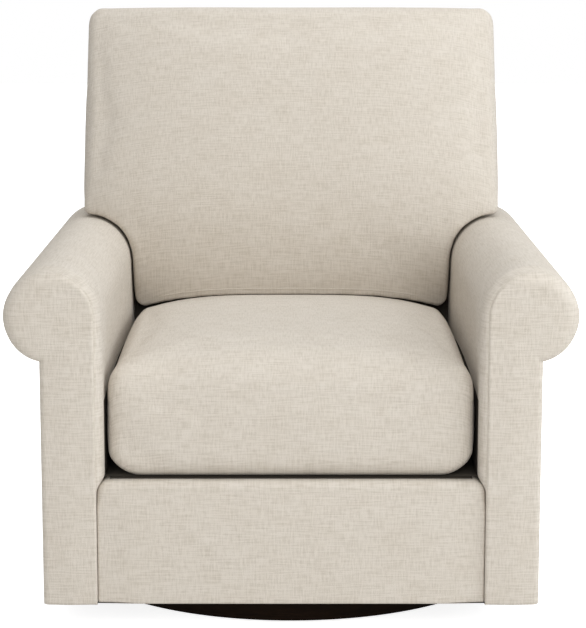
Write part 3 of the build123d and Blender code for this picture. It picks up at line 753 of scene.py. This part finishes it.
def clear_of_back_space(points, above_seat=0.001):
    """Keep the back cushion off the lining, out of the rolls, inside the arms and above the seat."""
    gap = 0.003
    side = np.sign(points[:, 0])
    off_x, off_z = np.abs(points[:, 0]) - ROLL_X, points[:, 2] - ROLL_Z
    push = np.maximum(1.0, (ROLL_RADIUS + gap) / np.maximum(np.hypot(off_x, off_z), 1e-9))
    points[:, 0] = side * (ROLL_X + off_x * push)
    points[:, 2] = ROLL_Z + off_z * push
    low = points[:, 2] < ROLL_Z
    points[low, 0] = np.clip(points[low, 0], gap - ARM_INNER, ARM_INNER - gap)
    points[:, 2] = np.maximum(points[:, 2], seat_crown(points[:, 0], points[:, 1]) + above_seat)
    points[:, 1] = np.minimum(points[:, 1], lining_y(points[:, 2]) - TOUCH)
    return points


def foot_seam(cushion, depsgraph, sizes):
    """Sewn seam along the back cushion's foot: the seat's crown, raised, thrown back onto the cover."""
    above_seat, ends = 0.011, 0.03
    x = np.linspace(-1.0, 1.0, 160) * (ARM_INNER - 0.05)
    z = seat_crown(x, MEET_Y) + above_seat
    skin = BVHTree.FromObject(cushion, depsgraph)
    path = np.array([skin.ray_cast((across, -0.5, up), (0.0, 1.0, 0.0))[0] for across, up in zip(x, z)])
    return seam_tube(path, sizes.seam_radius, ends)


class ARMCHAIR_OT_seat_cushion(bpy.types.Operator):
    """Loose seat cushion, filled until its cover is taut"""

    bl_idname = "armchair.seat_cushion"
    bl_label = "Seat cushion"

    def execute(self, context):
        sizes, colours = context.scene.armchair_sizes, context.scene.armchair_colours
        piece = make_piece("seat_cushion", seat_form())

        def held(points):
            low, behind = seat_low.z + 0.004, 0.12
            return (points[:, 2] < low) | (points[:, 1] > behind)

        points = fill_cushion(piece, sizes.seat_swell, held, sizes)
        settle(piece, clear_of_seat_space(points), clear_of_seat_space)
        dress(piece, linen(colours), "seat_cushion", "linen", "seat_cushion_cover", "seat_cushion_core")
        return {"FINISHED"}


class ARMCHAIR_OT_back_cushion(bpy.types.Operator):
    """Loose T-shaped back cushion, filled until its cover is taut"""

    bl_idname = "armchair.back_cushion"
    bl_label = "Back cushion"

    def execute(self, context):
        sizes, colours = context.scene.armchair_sizes, context.scene.armchair_colours
        piece = make_piece("back_cushion", back_form())

        def held(points):
            low = points[:, 2] < seat_crown(points[:, 0], points[:, 1]) + 0.010
            return low | (points[:, 1] > lining_y(points[:, 2]) - 0.006)

        points = fill_cushion(piece, sizes.back_swell, held, sizes)
        settle(piece, clear_of_back_space(points, above_seat=-0.009), clear_of_back_space)
        dress(piece, linen(colours), "back_cushion", "linen", "back_cushion_cover", "back_cushion_core")

        seam = make_piece("back_cushion_seam", [foot_seam(piece, context.evaluated_depsgraph_get(), sizes)])
        dress(seam, linen(colours), "back_cushion", "linen")
        return {"FINISHED"}


# Arms


def wall_and_roll(wall_x, wall_z, centre_x, radius, turn):
    """X and Z up an arm's wall and on round its roll: wall_x at each height, then a circle by those turns."""
    x = np.concatenate([wall_x + 0 * wall_z, centre_x + radius * np.cos(turn)])
    return x, np.concatenate([wall_z, ROLL_Z + radius * np.sin(turn)])


def arm_wrap_grids(sizes):
    """Cover of the right arm: inside wall and roll, carried from the facing's seam to the rear.

    Behind the seam the section grows from the facing's outline to the padding's: over a quarter ellipse
    on the inside, so that the seam shows, and smoothly round the outside, so that it doesn't.
    """
    below_deck, step_rise = 0.024, 0.028
    crease_end, crease_run = radians(112.0), radians(45.0)
    core_packed, core_inset = 0.02, 0.012
    wall_z = np.linspace(HEM, ROLL_Z, 120)
    step = smooth_step((wall_z - DECK_TOP + below_deck) / step_rise)
    wall_x = facing_low.x - 0.0005 + (ARM_INNER - facing_low.x) * step
    end = np.arccos((ARM_OUTER - ROLL_X) / ROLL_RADIUS)
    facing_end = np.arccos((ARM_OUTER - FACING_X) / FACING_RADIUS)
    turn = np.linspace(pi, -end, 110)[1:]
    facing_turn = np.linspace(pi, -facing_end, 110)[1:]
    core_wall = np.maximum(wall_x + sizes.wall, ARM_INNER + sizes.wall)
    pad_x, pad_z = wall_and_roll(wall_x, wall_z, ROLL_X, ROLL_RADIUS, turn)
    seam_x, seam_z = wall_and_roll(facing_low.x, wall_z, FACING_X, FACING_RADIUS, facing_turn)
    core_x, core_z = wall_and_roll(core_wall, wall_z, ROLL_X, ROLL_RADIUS - sizes.wall, turn)
    along = path_length(pad_x, pad_z)
    crease = np.concatenate([np.ones_like(wall_z), smooth_step((turn - crease_end) / crease_run)])

    def rear_end(x, z):
        inside = np.where(z < DECK_TOP, border_high.y - 0.005, lining_y(z) - TOUCH)
        return np.where(x < CAP_INNER, inside, rear_y(z, sizes) - sizes.outer_edge)

    seam_y = ARM_FRONT + facing_edge(seam_x, seam_z, sizes)
    swell = (1 - np.cos(np.linspace(0.0, pi / 2, 16)))[:, None]
    run = np.linspace(0.0, 1.0, 60)[1:, None]
    front = seam_y + sizes.front_roll
    y = np.concatenate([seam_y + sizes.front_roll * swell, front + (rear_end(pad_x, pad_z) - front) * run])
    ellipse = np.sqrt(np.maximum(1 - (1 - swell) ** 2, 0.0))
    grow = smooth_step(swell) + (ellipse - smooth_step(swell)) * crease
    grow = np.concatenate([grow, np.ones((run.size, pad_x.size))])
    x = seam_x + (pad_x - seam_x) * grow
    z = seam_z + (pad_z - seam_z) * grow
    outer = patch(x, y, z, y, along)
    core_front = facing_low.y + core_inset
    share = np.concatenate([core_packed * swell, core_packed + (1 - core_packed) * run])
    core_y = core_front + (rear_end(core_x, core_z) - core_front) * share
    inner = patch(core_x, core_y, core_z, core_y, along)
    return outer, inner


def end_panel_grid(radius, centre_x, inner_x):
    """X, Z and depth inside the edge over an arm's end: a post with a circle on top, cut at inner_x.

    Its rows crowd at the hem, and go by even turns round the circle.
    """
    start = -np.arccos((ARM_OUTER - centre_x) / radius)
    meet_z = ROLL_Z + radius * sin(start)
    low = HEM + (meet_z - HEM) * np.linspace(0.0, 1.0, 70) ** 1.6
    high = ROLL_Z + radius * np.sin(np.linspace(start, pi / 2, 90)[1:])
    z = np.concatenate([low, high])[:, None]
    half = np.sqrt(np.maximum(radius**2 - (z - ROLL_Z) ** 2, 0.0))
    right = np.where(z > meet_z, centre_x + half, ARM_OUTER)
    left = np.where(z > ROLL_Z, np.maximum(centre_x - half, inner_x), inner_x)
    right = np.maximum(right, left)
    x = left + (right - left) * clustered(44)
    in_circle = radius - np.hypot(x - centre_x, z - ROLL_Z)
    return x, z + 0 * x, in_circle


def facing_grids(sizes):
    """Front facing of the right arm: a flat, slightly swollen panel with a rounded edge all round."""
    x, z, in_circle = end_panel_grid(FACING_RADIUS, FACING_X, facing_low.x)
    in_post = np.where(z <= ROLL_Z, np.minimum(x - facing_low.x, ARM_OUTER - x), -1.0)
    depth = np.maximum(np.maximum(in_circle, in_post), 0.0)
    y = ARM_FRONT + quarter(depth, facing_edge(x, z, sizes)) + quarter(z - HEM, sizes.hem_edge)
    y = np.minimum(y - sizes.facing_pillow * smooth_step(depth / 0.05), ARM_FRONT + facing_edge(x, z, sizes))
    return patch(x, y, z, x, z), patch(x, np.maximum(facing_high.y + 0.002, y + 0.001), z, x, z)


def facing_seam(sizes):
    """Sewn seam up the inner edge of the right facing, round the roll's front until it runs out."""
    rise = np.linspace(HEM + 0.002, ROLL_Z, 120)
    turn = np.linspace(pi, radians(96.0), 50)[1:]
    x, z = wall_and_roll(facing_low.x, rise, FACING_X, FACING_RADIUS, turn)
    y = ARM_FRONT + facing_edge(x, z, sizes) - 0.0004
    line = np.stack([x + 0.0006, y, z], axis=-1)
    return seam_tube(line, sizes.seam_radius, 0.06)


def rear_cap_grids(sizes):
    """Rear end of the right arm beside the outside back, on the raked plane, rounded on its outer edge."""
    x, z, in_circle = end_panel_grid(ROLL_RADIUS, ROLL_X, CAP_INNER)
    in_post = np.where(z <= ROLL_Z, ARM_OUTER - x, -1.0)
    depth = np.maximum(np.maximum(in_circle, in_post), 0.0)
    y = rear_y(z, sizes) - quarter(depth, sizes.outer_edge)
    return patch(x, y, z, x, z), patch(x, rear_y(z, sizes) - sizes.outer_edge - 0.002, z, x, z)


def outside_panel_grids(sizes):
    """Outside of the right arm below the roll: a flat panel from the facing to the rear end."""
    z = np.linspace(HEM, panel_high.z, 60)[:, None]
    front = ARM_FRONT + facing_edge(ARM_OUTER, z, sizes)
    rear = rear_y(z, sizes) - sizes.outer_edge
    y = front + (rear - front) * clustered(90)
    depth = np.minimum(np.minimum(y - front, rear - y), np.minimum(z - HEM, panel_high.z - z) + 0.004)
    x = ARM_OUTER + sizes.panel_pillow * smooth_step(depth / 0.06)
    return patch(x, y, z, y, z), patch(panel_low.x, y, z, y, z)


class ARMCHAIR_OT_arms(bpy.types.Operator):
    """Rolled arms: padded cover, front facing, seam, outside panel and rear end on each side"""

    bl_idname = "armchair.arms"
    bl_label = "Arms"

    def execute(self, context):
        sizes, colours = context.scene.armchair_sizes, context.scene.armchair_colours
        cloth = linen(colours)
        for name, side in SIDES.items():
            for stem, grids, node in (
                ("arm_cover", arm_wrap_grids(sizes), "arm_pad"),
                ("arm_front_facing", facing_grids(sizes), "arm_facing"),
                ("arm_outside", outside_panel_grids(sizes), "outside_arm_panel"),
                ("arm_rear_end", rear_cap_grids(sizes), "arm_rear_cap"),
            ):
                grids = [mirrored(grid, side) for grid in grids]
                piece = cloth_piece(f"{stem}_{name}", grids, cloth, "linen", f"{node}_{name}")
            seam = make_piece(f"arm_seam_{name}", [mirrored(facing_seam(sizes), side)])
            dress(seam, cloth, "chair", "linen")
        return {"FINISHED"}


# Seat front, deck and back


def border_grids(sizes):
    """Front border, front and rear, and a strip of dark lining cloth along its top, upper and lower, as
    painted shadow under the seat cushion's front edge.

    The border is an upright panel whose upper corners are quarter circles. It swells towards its middle,
    and its edge is a quarter circle, rounder along the top than down the sides. The cloth is level.
    """
    corner, edge, side_edge, overlap, lowered, shadow_strip_from = 0.020, 0.012, 0.004, 0.0012, 0.0045, 0.026
    half, top = border_high.x + overlap, border_high.z - lowered
    turn = np.linspace(0.0, pi / 2, 20)[1:]
    rise = HEM + (top - corner - HEM) * clustered(60)
    z = np.concatenate([rise, top - corner + corner * np.sin(turn)])[:, None]
    over = np.maximum(z - top + corner, 0.0)
    reach = half - corner + np.sqrt(np.maximum(corner**2 - over**2, 0.0))
    x = reach * spread(120)
    in_corner = corner - np.hypot(np.maximum(np.abs(x) - half + corner, 0.0), over)
    beside = half - np.abs(x)
    near_corner = np.where(np.abs(x) > half - corner, in_corner, top - z)
    depth = np.where(over > 0, near_corner, np.minimum(beside, top - z))
    depth = np.maximum(np.minimum(depth, beside), 0.0)
    tight = edge - (edge - side_edge) * smooth_step((top - corner - z) / 0.03)
    y = border_low.y + quarter(depth, tight) - sizes.border_pillow * smooth_step(depth / 0.07)
    y = y + quarter(z - HEM, sizes.hem_edge)
    border = patch(x, y, z, x, z), patch(x, border_high.y, z, x, z)
    # Dark strip of painted shadow on the border's top, from under the cushion's front rounding back to the
    # border's rear
    y = np.linspace(border_low.y + shadow_strip_from, border_high.y, 12)[:, None]
    x = (half - corner) * spread(40)
    return border, [patch(x, y, top + off, x, y) for off in (0.0006, 0.0001)]


class ARMCHAIR_OT_front_border(bpy.types.Operator):
    """Padded border below the seat cushion, with rounded upper corners and a strip of dark cloth along its
    top as painted shadow under the cushion
    """

    bl_idname = "armchair.front_border"
    bl_label = "Front border"

    def execute(self, context):
        sizes, colours = context.scene.armchair_sizes, context.scene.armchair_colours
        border, ledge_shadow_strip = border_grids(sizes)
        piece = cloth_piece("seat_front_border", border, linen(colours), "linen", "front_border")
        # The dark strip along the border's top is painted shadow under the seat cushion's front edge.
        cloth_piece("seat_ledge_painted_shadow", ledge_shadow_strip, lining_cloth(colours), "lining_cloth")
        return {"FINISHED"}


def deck_grids():
    """Deck cloth: level, with a smooth fall at its edges."""
    half = ARM_INNER + 0.006
    y = np.linspace(deck_low.y, deck_high.y, 60)[:, None]
    x = half * spread(60)
    depth = np.minimum(np.minimum(y - deck_low.y, deck_high.y - y) + 0.003, half - np.abs(x))
    z = deck_high.z - DECK_FALL * (1 - smooth_step(depth / DECK_EDGE))
    return patch(x, y, z, x, y), patch(x, y, deck_low.z, x, y)


def arm_gap_shade_grids():
    """Dark lining cloth laid on the right arm's inner wall beside the seat, as painted shade in the gap:
    upright, from the deck up to a line that follows the seat's edge.

    Towards its rear it leans more and more with the lining.
    """
    y = np.linspace(border_low.y + 0.030, LINING_FOOT - 0.002, 90)[:, None]
    rise = seat_crown(seat_high.x, y) - 0.045 - deck_high.z
    z = deck_high.z + 0.001 + rise * np.linspace(0.0, 1.0, 30)
    y = y + (lining_y(z) - LINING_FOOT) * np.linspace(0.0, 1.0, 90)[:, None]
    return [patch(ARM_INNER - off, y, z, y, z) for off in (0.0009, 0.0004)]


def lining_grids():
    """Back lining: a reclined plane as wide as the space between the arms, their rolls and, above, the back.

    Its front falls back smoothly at the sides and the top.
    """
    gap, fall, thick = 0.0008, 0.003, 0.007
    reach = ROLL_RADIUS + gap
    roll = np.linspace(0.0, pi / 2, 40)[1:]
    level = np.concatenate([
        np.linspace(lining_low.z, ROLL_Z, 50), ROLL_Z + reach * np.sin(roll),
        [ROLL_Z + reach + 1e-5], np.linspace(ROLL_Z + reach + 0.004, lining_high.z, 60)])[:, None]
    rows = np.minimum(level - ROLL_Z, reach)
    rolled = ROLL_X - np.sqrt(np.maximum(reach**2 - rows**2, 0.0))
    width = np.where(level <= ROLL_Z, ARM_INNER - gap, rolled)
    width = np.where(level > ROLL_Z + reach, lining_high.x, width)
    x = width * spread(80)
    depth = np.minimum(width - np.abs(x), lining_high.z - level)
    front = lining_y(level) + fall * (1 - smooth_step(depth / 0.03)) / cos(RECLINE)
    rear = lining_y(level) + thick / cos(RECLINE)
    return [patch(x, y, level, x, level) for y in (front, rear)]


class ARMCHAIR_OT_deck_and_lining(bpy.types.Operator):
    """Plain dark cloth under the seat cushion and behind the back cushion, and dark sheets on the arms beside
    it as painted shade in the gaps
    """

    bl_idname = "armchair.deck_and_lining"
    bl_label = "Deck and lining"

    def execute(self, context):
        cloth = lining_cloth(context.scene.armchair_colours)
        deck = cloth_piece("seat_deck_cloth", deck_grids(), cloth, "lining_cloth", "seat_deck")
        for name, side in SIDES.items():
            # Dark sheets on the arms' inner walls: painted shade in the gaps beside the seat cushion.
            grids = [mirrored(grid, side) for grid in arm_gap_shade_grids()]
            cloth_piece(f"arm_inside_painted_shade_{name}", grids, cloth, "lining_cloth")
        lining = cloth_piece("back_lining_cloth", lining_grids(), cloth, "lining_cloth", "back_lining")
        return {"FINISHED"}


def dust_cover_grids():
    """Dust cover under the frame: rings from the pivot's hole out to a rectangle, sagging a little.

    A ring reaches a share of the way from the hole to the rectangle in each direction.
    """
    hole, most, board, rim, fade = 0.0105, 0.003, 0.22, 0.03, 0.08
    corners = [atan2(y, x) for x in (dust_low.x, dust_high.x) for y in (dust_low.y, dust_high.y)]
    turn = np.unique(np.concatenate([np.linspace(-pi, pi, 181), corners]))
    along_x = dust_high.x / np.maximum(np.abs(np.cos(turn)), 1e-9)
    along_y = np.where(np.sin(turn) > 0, dust_high.y, -dust_low.y) / np.maximum(np.abs(np.sin(turn)), 1e-9)
    reach = hole + (np.minimum(along_x, along_y) - hole) * np.linspace(0.0, 1.0, 40)[:, None]
    x, y = reach * np.cos(turn), reach * np.sin(turn)
    depth = np.minimum(dust_high.x - np.abs(x), np.minimum(dust_high.y - y, y - dust_low.y))
    sag = most * smooth_step((reach - board) / fade) * smooth_step((depth - rim) / fade)
    return patch(x, y, dust_low.z - sag, x, y), patch(x, y, dust_high.z - 0.0001 - sag, x, y)


def webbing_grids():
    """Straps across the back between the posts: flat bands behind the lining, bowed back midway."""
    front, thick, most, width, count = 0.0072, 0.0016, 0.004, 0.050, 4
    low = (strap_low.z - DECK_TOP + 0.009 * sin(RECLINE)) / cos(RECLINE) + width / 2
    high = (strap_high.z - DECK_TOP + 0.007 * sin(RECLINE)) / cos(RECLINE) - width / 2
    x = np.linspace(strap_low.x, strap_high.x, 60)
    across = np.linspace(-width / 2, width / 2, 9)[:, None]
    bow = most * (1 - (x / strap_high.x) ** 2)
    grids = []
    for middle in np.linspace(low, high, count):
        faces = []
        for depth in (front + bow, front + thick + bow):
            y = LINING_FOOT + (middle + across) * sin(RECLINE) + depth * cos(RECLINE)
            z = DECK_TOP + (middle + across) * cos(RECLINE) - depth * sin(RECLINE)
            faces.append(patch(x, y, z, x, middle + across))
        grids += shell(*faces)
    return grids, (width * count, strap_high.x - strap_low.x)


class ARMCHAIR_OT_hidden_cloth(bpy.types.Operator):
    """Dust cover under the frame and webbing behind the lining"""

    bl_idname = "armchair.hidden_cloth"
    bl_label = "Hidden cloth"

    def execute(self, context):
        black = woven_cloth(
            "black_dust_cover", (0.030, 0.030, 0.031), (0.016, 0.016, 0.017), 0.001, 0.6, 0.3, 0.0)
        dust = cloth_piece("dust_cover_cloth", dust_cover_grids(), black, "dust_cloth", "dust_cover")
        flat = (dust_high.x - dust_low.x, dust_high.y - dust_low.y)
        elastic = woven_cloth(
            "elastic_webbing", (0.13, 0.12, 0.11), (0.075, 0.068, 0.06), 0.002, 0.8, 0.5, 0.0)
        grids, flat = webbing_grids()
        straps = make_piece("back_webbing_straps", grids)
        dress(straps, elastic, "chair", "webbing", "back_webbing")
        return {"FINISHED"}


def back_wrap_grids(sizes):
    """Sides and top of the back frame: a band from the lining round to the outside back.

    The path climbs one side, turns the top corner, crosses and comes down the other side; across the
    band both edges are rounded, and the rear edge turns 16 mm onto the outside back.
    """
    corner, edge, turn_in, thick, tilt_from = 0.020, 0.012, 0.016, 0.004, 0.70
    low_reach, more_reach, reach_from, reach_run = 0.06, 0.1, 0.50, 0.06
    top = top_high.z
    turn = np.linspace(0.0, pi / 2, 14)
    rise = np.linspace(HEM, top - corner, 110)
    path_x = np.concatenate([np.full_like(rise, BACK_HALF), BACK_HALF - corner + corner * np.cos(turn[1:])])
    path_z = np.concatenate([rise, top - corner + corner * np.sin(turn[1:])])
    across = np.linspace(1.0, -1.0, 90)[1:-1] * (BACK_HALF - corner)
    path_x = np.concatenate([path_x, across, -path_x[::-1]])
    path_z = np.concatenate([path_z, np.full_like(across, top), path_z[::-1]])
    run_x, run_z = np.gradient(path_x), np.gradient(path_z)
    size = np.hypot(run_x, run_z)
    in_x, in_z = -run_z / size, run_x / size
    length = path_length(path_x, path_z)
    reach = low_reach + more_reach * smooth_step((path_z - reach_from) / reach_run)
    front = np.maximum(lining_y(path_z), rear_y(path_z, sizes) - reach)
    rear = rear_y(path_z, sizes)
    span = np.linspace(0.0, 1.0, 30)[:, None]
    bend = np.linspace(0.0, pi / 2, 10)[:, None]
    depth = np.concatenate([
        front + edge * (1 - np.cos(bend)),
        front + edge + (rear - front - 2 * edge) * span[1:-1],
        rear - edge + edge * np.sin(bend),
        rear[None, :]])
    inset = np.concatenate([
        edge * (1 - np.sin(bend)) + 0 * path_x, np.zeros((span.shape[0] - 2, path_x.size)),
        edge * (1 - np.cos(bend)) + 0 * path_x, np.full((1, path_x.size), turn_in)])
    tilt = smooth_step((path_z - tilt_from) / (top - tilt_from)) * tan(RECLINE)
    x = path_x + in_x * inset
    z = path_z + in_z * inset - tilt * (depth - front)
    outer = patch(x, depth, z, length, depth)
    inner_depth = np.clip(depth, front + thick, rear - thick)
    inner = patch(
        path_x + in_x * (inset + thick), inner_depth,
        path_z + in_z * (inset + thick) - tilt * (inner_depth - front), length, depth)
    return outer, inner


def outside_back_grids(sizes):
    """Outside back: a raked panel inside the band's turned edge, slightly swollen, flat at the hem."""
    turn_in, edge = 0.0165, 0.004
    half = BACK_HALF - turn_in
    top = top_high.z
    high = top - turn_in - tan(RECLINE) * (rear_y(top, sizes) - lining_y(top))
    z = (HEM + (high - HEM) * clustered(120))[:, None]
    x = half * spread(110)
    depth = np.maximum(np.minimum(half - np.abs(x), high - z), 0.0)
    y = rear_y(z, sizes) - quarter(depth, edge) + sizes.panel_pillow * smooth_step(depth / 0.08) - 0.001
    return patch(x, y, z, x, z), patch(x, rear_y(z, sizes) - 0.007, z, x, z)


class ARMCHAIR_OT_back_cover(bpy.types.Operator):
    """Cover of the back frame: a band over its sides and top, and the outside back"""

    bl_idname = "armchair.back_cover"
    bl_label = "Back cover"

    def execute(self, context):
        sizes, colours = context.scene.armchair_sizes, context.scene.armchair_colours
        cloth = linen(colours)
        band = cloth_piece(
            "back_band", back_wrap_grids(sizes), cloth, "linen",
            "back_side_panel_right", "back_side_panel_left", "back_top_panel")
        panel = cloth_piece("back_outside", outside_back_grids(sizes), cloth, "linen", "outside_back_panel")
        return {"FINISHED"}


# Frame finishes and stage


def frame_finishes(colours):
    """Finishes of the plinth, the swivel and the timber frame, each with the nodes that have it."""
    stain, timber = tuple(colours.plinth), tuple(colours.timber)
    dark_stain = tuple(0.45 * value for value in stain)
    dark_timber = tuple(0.72 * value for value in timber)
    return (
        (wood("dark_stained_wood", stain, dark_stain, (6, 90, 90), 0.60, 0.05), ("plinth",)),
        (moulded("floor_rubber", (0.03, 0.03, 0.03), (0.015, 0.015, 0.015), 0.75, 60.0), ("floor_ring",)),
        (metal("race_steel", (0.45, 0.45, 0.44), (0.33, 0.33, 0.33), 0.38, 40.0),
         ("lower_race", "upper_race", "ball_cage")),
        (metal("bearing_steel", (0.65, 0.65, 0.66), (0.55, 0.55, 0.56), 0.12, 90.0), ("bearing_balls",)),
        (metal("zinc_plate", (0.60, 0.61, 0.62), (0.46, 0.47, 0.48), 0.30, 120.0),
         ("race_screws", "race_bolts", "race_nuts", "pivot_bolt", "pivot_washer", "pivot_nut",
          "spring_clips")),
        (metal("spring_steel", (0.22, 0.21, 0.20), (0.14, 0.13, 0.12), 0.40, 150.0), ("seat_springs",)),
        (moulded("bush_nylon", (0.80, 0.78, 0.72), (0.72, 0.70, 0.64), 0.45, 120.0), ("pivot_bush",)),
        (wood("birch_plywood", (0.62, 0.47, 0.29), (0.50, 0.36, 0.21), (7, 60, 160), 0.55, 0.4),
         ("mount_board", "arm_former_right", "arm_former_left")),
        (wood("frame_hardwood", timber, dark_timber, (7, 70, 70), 0.60, 0.4),
         ("cross_rails", "front_rail", "rear_rail", "side_rail_left", "side_rail_right", "corner_blocks",
          "arm_front_board_right", "arm_front_board_left", "arm_rail_right", "arm_rail_left",
          "back_post_right", "back_post_left", "back_top_rail", "back_lower_rail")),
    )


class ARMCHAIR_OT_frame_finishes(bpy.types.Operator):
    """Finishes of the plinth, the swivel and the timber frame"""

    bl_idname = "armchair.frame_finishes"
    bl_label = "Frame finishes"

    def execute(self, context):
        for material, nodes in frame_finishes(context.scene.armchair_colours):
            for node in nodes:
                slots = frame["nodes"][node].data.materials
                slots.clear()
                slots.append(material)
        return {"FINISHED"}


def seen_directly(tree):
    """1 for what the camera, a reflection or a see-through surface shows, and 0 for what only lights."""
    path = tree.nodes.new("ShaderNodeLightPath")
    seen = math_node(tree, "MAXIMUM", path.outputs["Is Camera Ray"], path.outputs["Is Glossy Ray"])
    return math_node(tree, "MAXIMUM", seen, path.outputs["Is Transmission Ray"])


def add_camera(scene):
    """Camera in front of the chair, with a long lens, that looks down a little."""
    camera = bpy.data.cameras.new("camera")
    camera.sensor_width = 36.0
    camera.lens = 120.1
    camera.shift_x = 0.003
    camera.clip_end = 60.0
    eye = bpy.data.objects.new("camera", camera)
    eye.location = (0.0, -3.79, 1.119)
    eye.rotation_euler = (radians(90.0 - 9.85), 0.0, 0.0)
    scene.collection.objects.link(eye)
    scene.camera = eye


def add_lights(scene):
    """Soft studio lights: square panels, each with its place, target, width, power and tint."""
    cool, warm = (0.94, 0.97, 1.0), (1.0, 0.98, 0.95)
    for name, place, target, width, power, tint in (
        ("side", (3.3, -1.3, 1.9), (0.0, 0.0, 0.5), 2.0, 57.0, cool),
        ("front", (0.0, -4.8, 2.4), (0.0, 0.0, 0.5), 3.0, 97.0, warm),
        ("top", (0.0, 0.2, 3.6), (0.0, 0.0, 0.5), 3.0, 41.0, WHITE),
        ("top_right", (1.8, -1.6, 3.0), (0.0, 0.0, 0.5), 2.0, 20.0, cool),
        ("rear", (-0.8, 4.2, 2.2), (0.0, 0.3, 0.5), 2.5, 40.0, WHITE),
    ):
        lamp = bpy.data.lights.new(name, "AREA")
        lamp.size = width
        lamp.energy = power
        lamp.color = tint
        holder = bpy.data.objects.new(name, lamp)
        holder.location = place
        holder.rotation_euler = (Vector(target) - Vector(place)).to_track_quat("-Z", "Y").to_euler()
        scene.collection.objects.link(holder)


def add_surround(scene):
    """White surround that lights less than it shows."""
    world = bpy.data.worlds.new("studio")
    world.use_nodes = True
    scene.world = world
    tree = world.node_tree
    ground = tree.nodes["Background"]
    feed(tree, WHITE, ground.inputs["Color"])
    level = tree.nodes.new("ShaderNodeMapRange")
    set_inputs(level, {"To Min": 0.38, "To Max": 1.0})
    feed(tree, seen_directly(tree), level.inputs["Value"])
    feed(tree, level, ground.inputs["Strength"])


def add_floor(scene):
    """White floor that fades into the surround away from the chair."""
    reach = 14.0
    mesh = bpy.data.meshes.new("floor")
    mesh.from_pydata(
        [(-reach, -reach, 0.0), (reach, -reach, 0.0), (reach, reach, 0.0), (-reach, reach, 0.0)],
        [], [(0, 1, 2, 3)])
    floor = bpy.data.objects.new("floor", mesh)
    scene.collection.objects.link(floor)
    material, tree, shader = new_material("white_floor")
    set_inputs(shader, {
        "Base Color": (0.86, 0.86, 0.86, 1.0), "Roughness": 0.9, "Specular IOR Level": 0.0,
        "Emission Color": (*WHITE, 1.0)})
    away = tree.nodes.new("ShaderNodeVectorMath")
    away.operation = "LENGTH"
    feed(tree, tree.nodes.new("ShaderNodeTexCoord").outputs["Object"], away.inputs[0])
    fade = tree.nodes.new("ShaderNodeMapRange")
    fade.interpolation_type = "SMOOTHSTEP"
    set_inputs(fade, {"From Min": 0.6, "From Max": 1.7, "To Min": 0.85, "To Max": 1.0})
    feed(tree, away.outputs["Value"], fade.inputs["Value"])
    glow = math_node(tree, "MULTIPLY", seen_directly(tree), fade.outputs["Result"])
    feed(tree, glow, shader.inputs["Emission Strength"])
    mesh.materials.append(material)


class ARMCHAIR_OT_stage(bpy.types.Operator):
    """White floor and surround, soft studio light and the camera"""

    bl_idname = "armchair.stage"
    bl_label = "Stage"

    def execute(self, context):
        context.scene.view_settings.view_transform = "Standard"
        for add in (add_camera, add_lights, add_surround, add_floor):
            add(context.scene)
        return {"FINISHED"}


class ARMCHAIR_PT_pieces(bpy.types.Panel):
    """Sizes, colours and the pieces of the armchair"""

    bl_label = "Armchair"
    bl_idname = "ARMCHAIR_PT_pieces"
    bl_space_type = "VIEW_3D"
    bl_region_type = "UI"
    bl_category = "Armchair"

    def draw(self, context):
        for group in (context.scene.armchair_sizes, context.scene.armchair_colours):
            for name in group.__annotations__:
                self.layout.prop(group, name)
        for operator in OPERATORS:
            self.layout.operator(operator.bl_idname)


OPERATORS = (
    ARMCHAIR_OT_stage,
    ARMCHAIR_OT_seat_cushion,
    ARMCHAIR_OT_back_cushion,
    ARMCHAIR_OT_arms,
    ARMCHAIR_OT_front_border,
    ARMCHAIR_OT_deck_and_lining,
    ARMCHAIR_OT_hidden_cloth,
    ARMCHAIR_OT_back_cover,
    ARMCHAIR_OT_frame_finishes,
)
GROUPS = {"armchair_sizes": ArmchairSizes, "armchair_colours": ArmchairColours}


def register():
    """Make the properties, operators and panel known to Blender."""
    for name, group in GROUPS.items():
        bpy.utils.register_class(group)
        setattr(bpy.types.Scene, name, bpy.props.PointerProperty(type=group))
    for kind in (*OPERATORS, ARMCHAIR_PT_pieces):
        bpy.utils.register_class(kind)


def unregister():
    """Take the properties, operators and panel out again."""
    for kind in (ARMCHAIR_PT_pieces, *reversed(OPERATORS)):
        bpy.utils.unregister_class(kind)
    for name, group in GROUPS.items():
        delattr(bpy.types.Scene, name)
        bpy.utils.unregister_class(group)


def main():
    """Build every piece in order."""
    register()
    for operator in OPERATORS:
        family, name = operator.bl_idname.split(".")
        getattr(getattr(bpy.ops, family), name)()


if __name__ == "__main__":
    main()
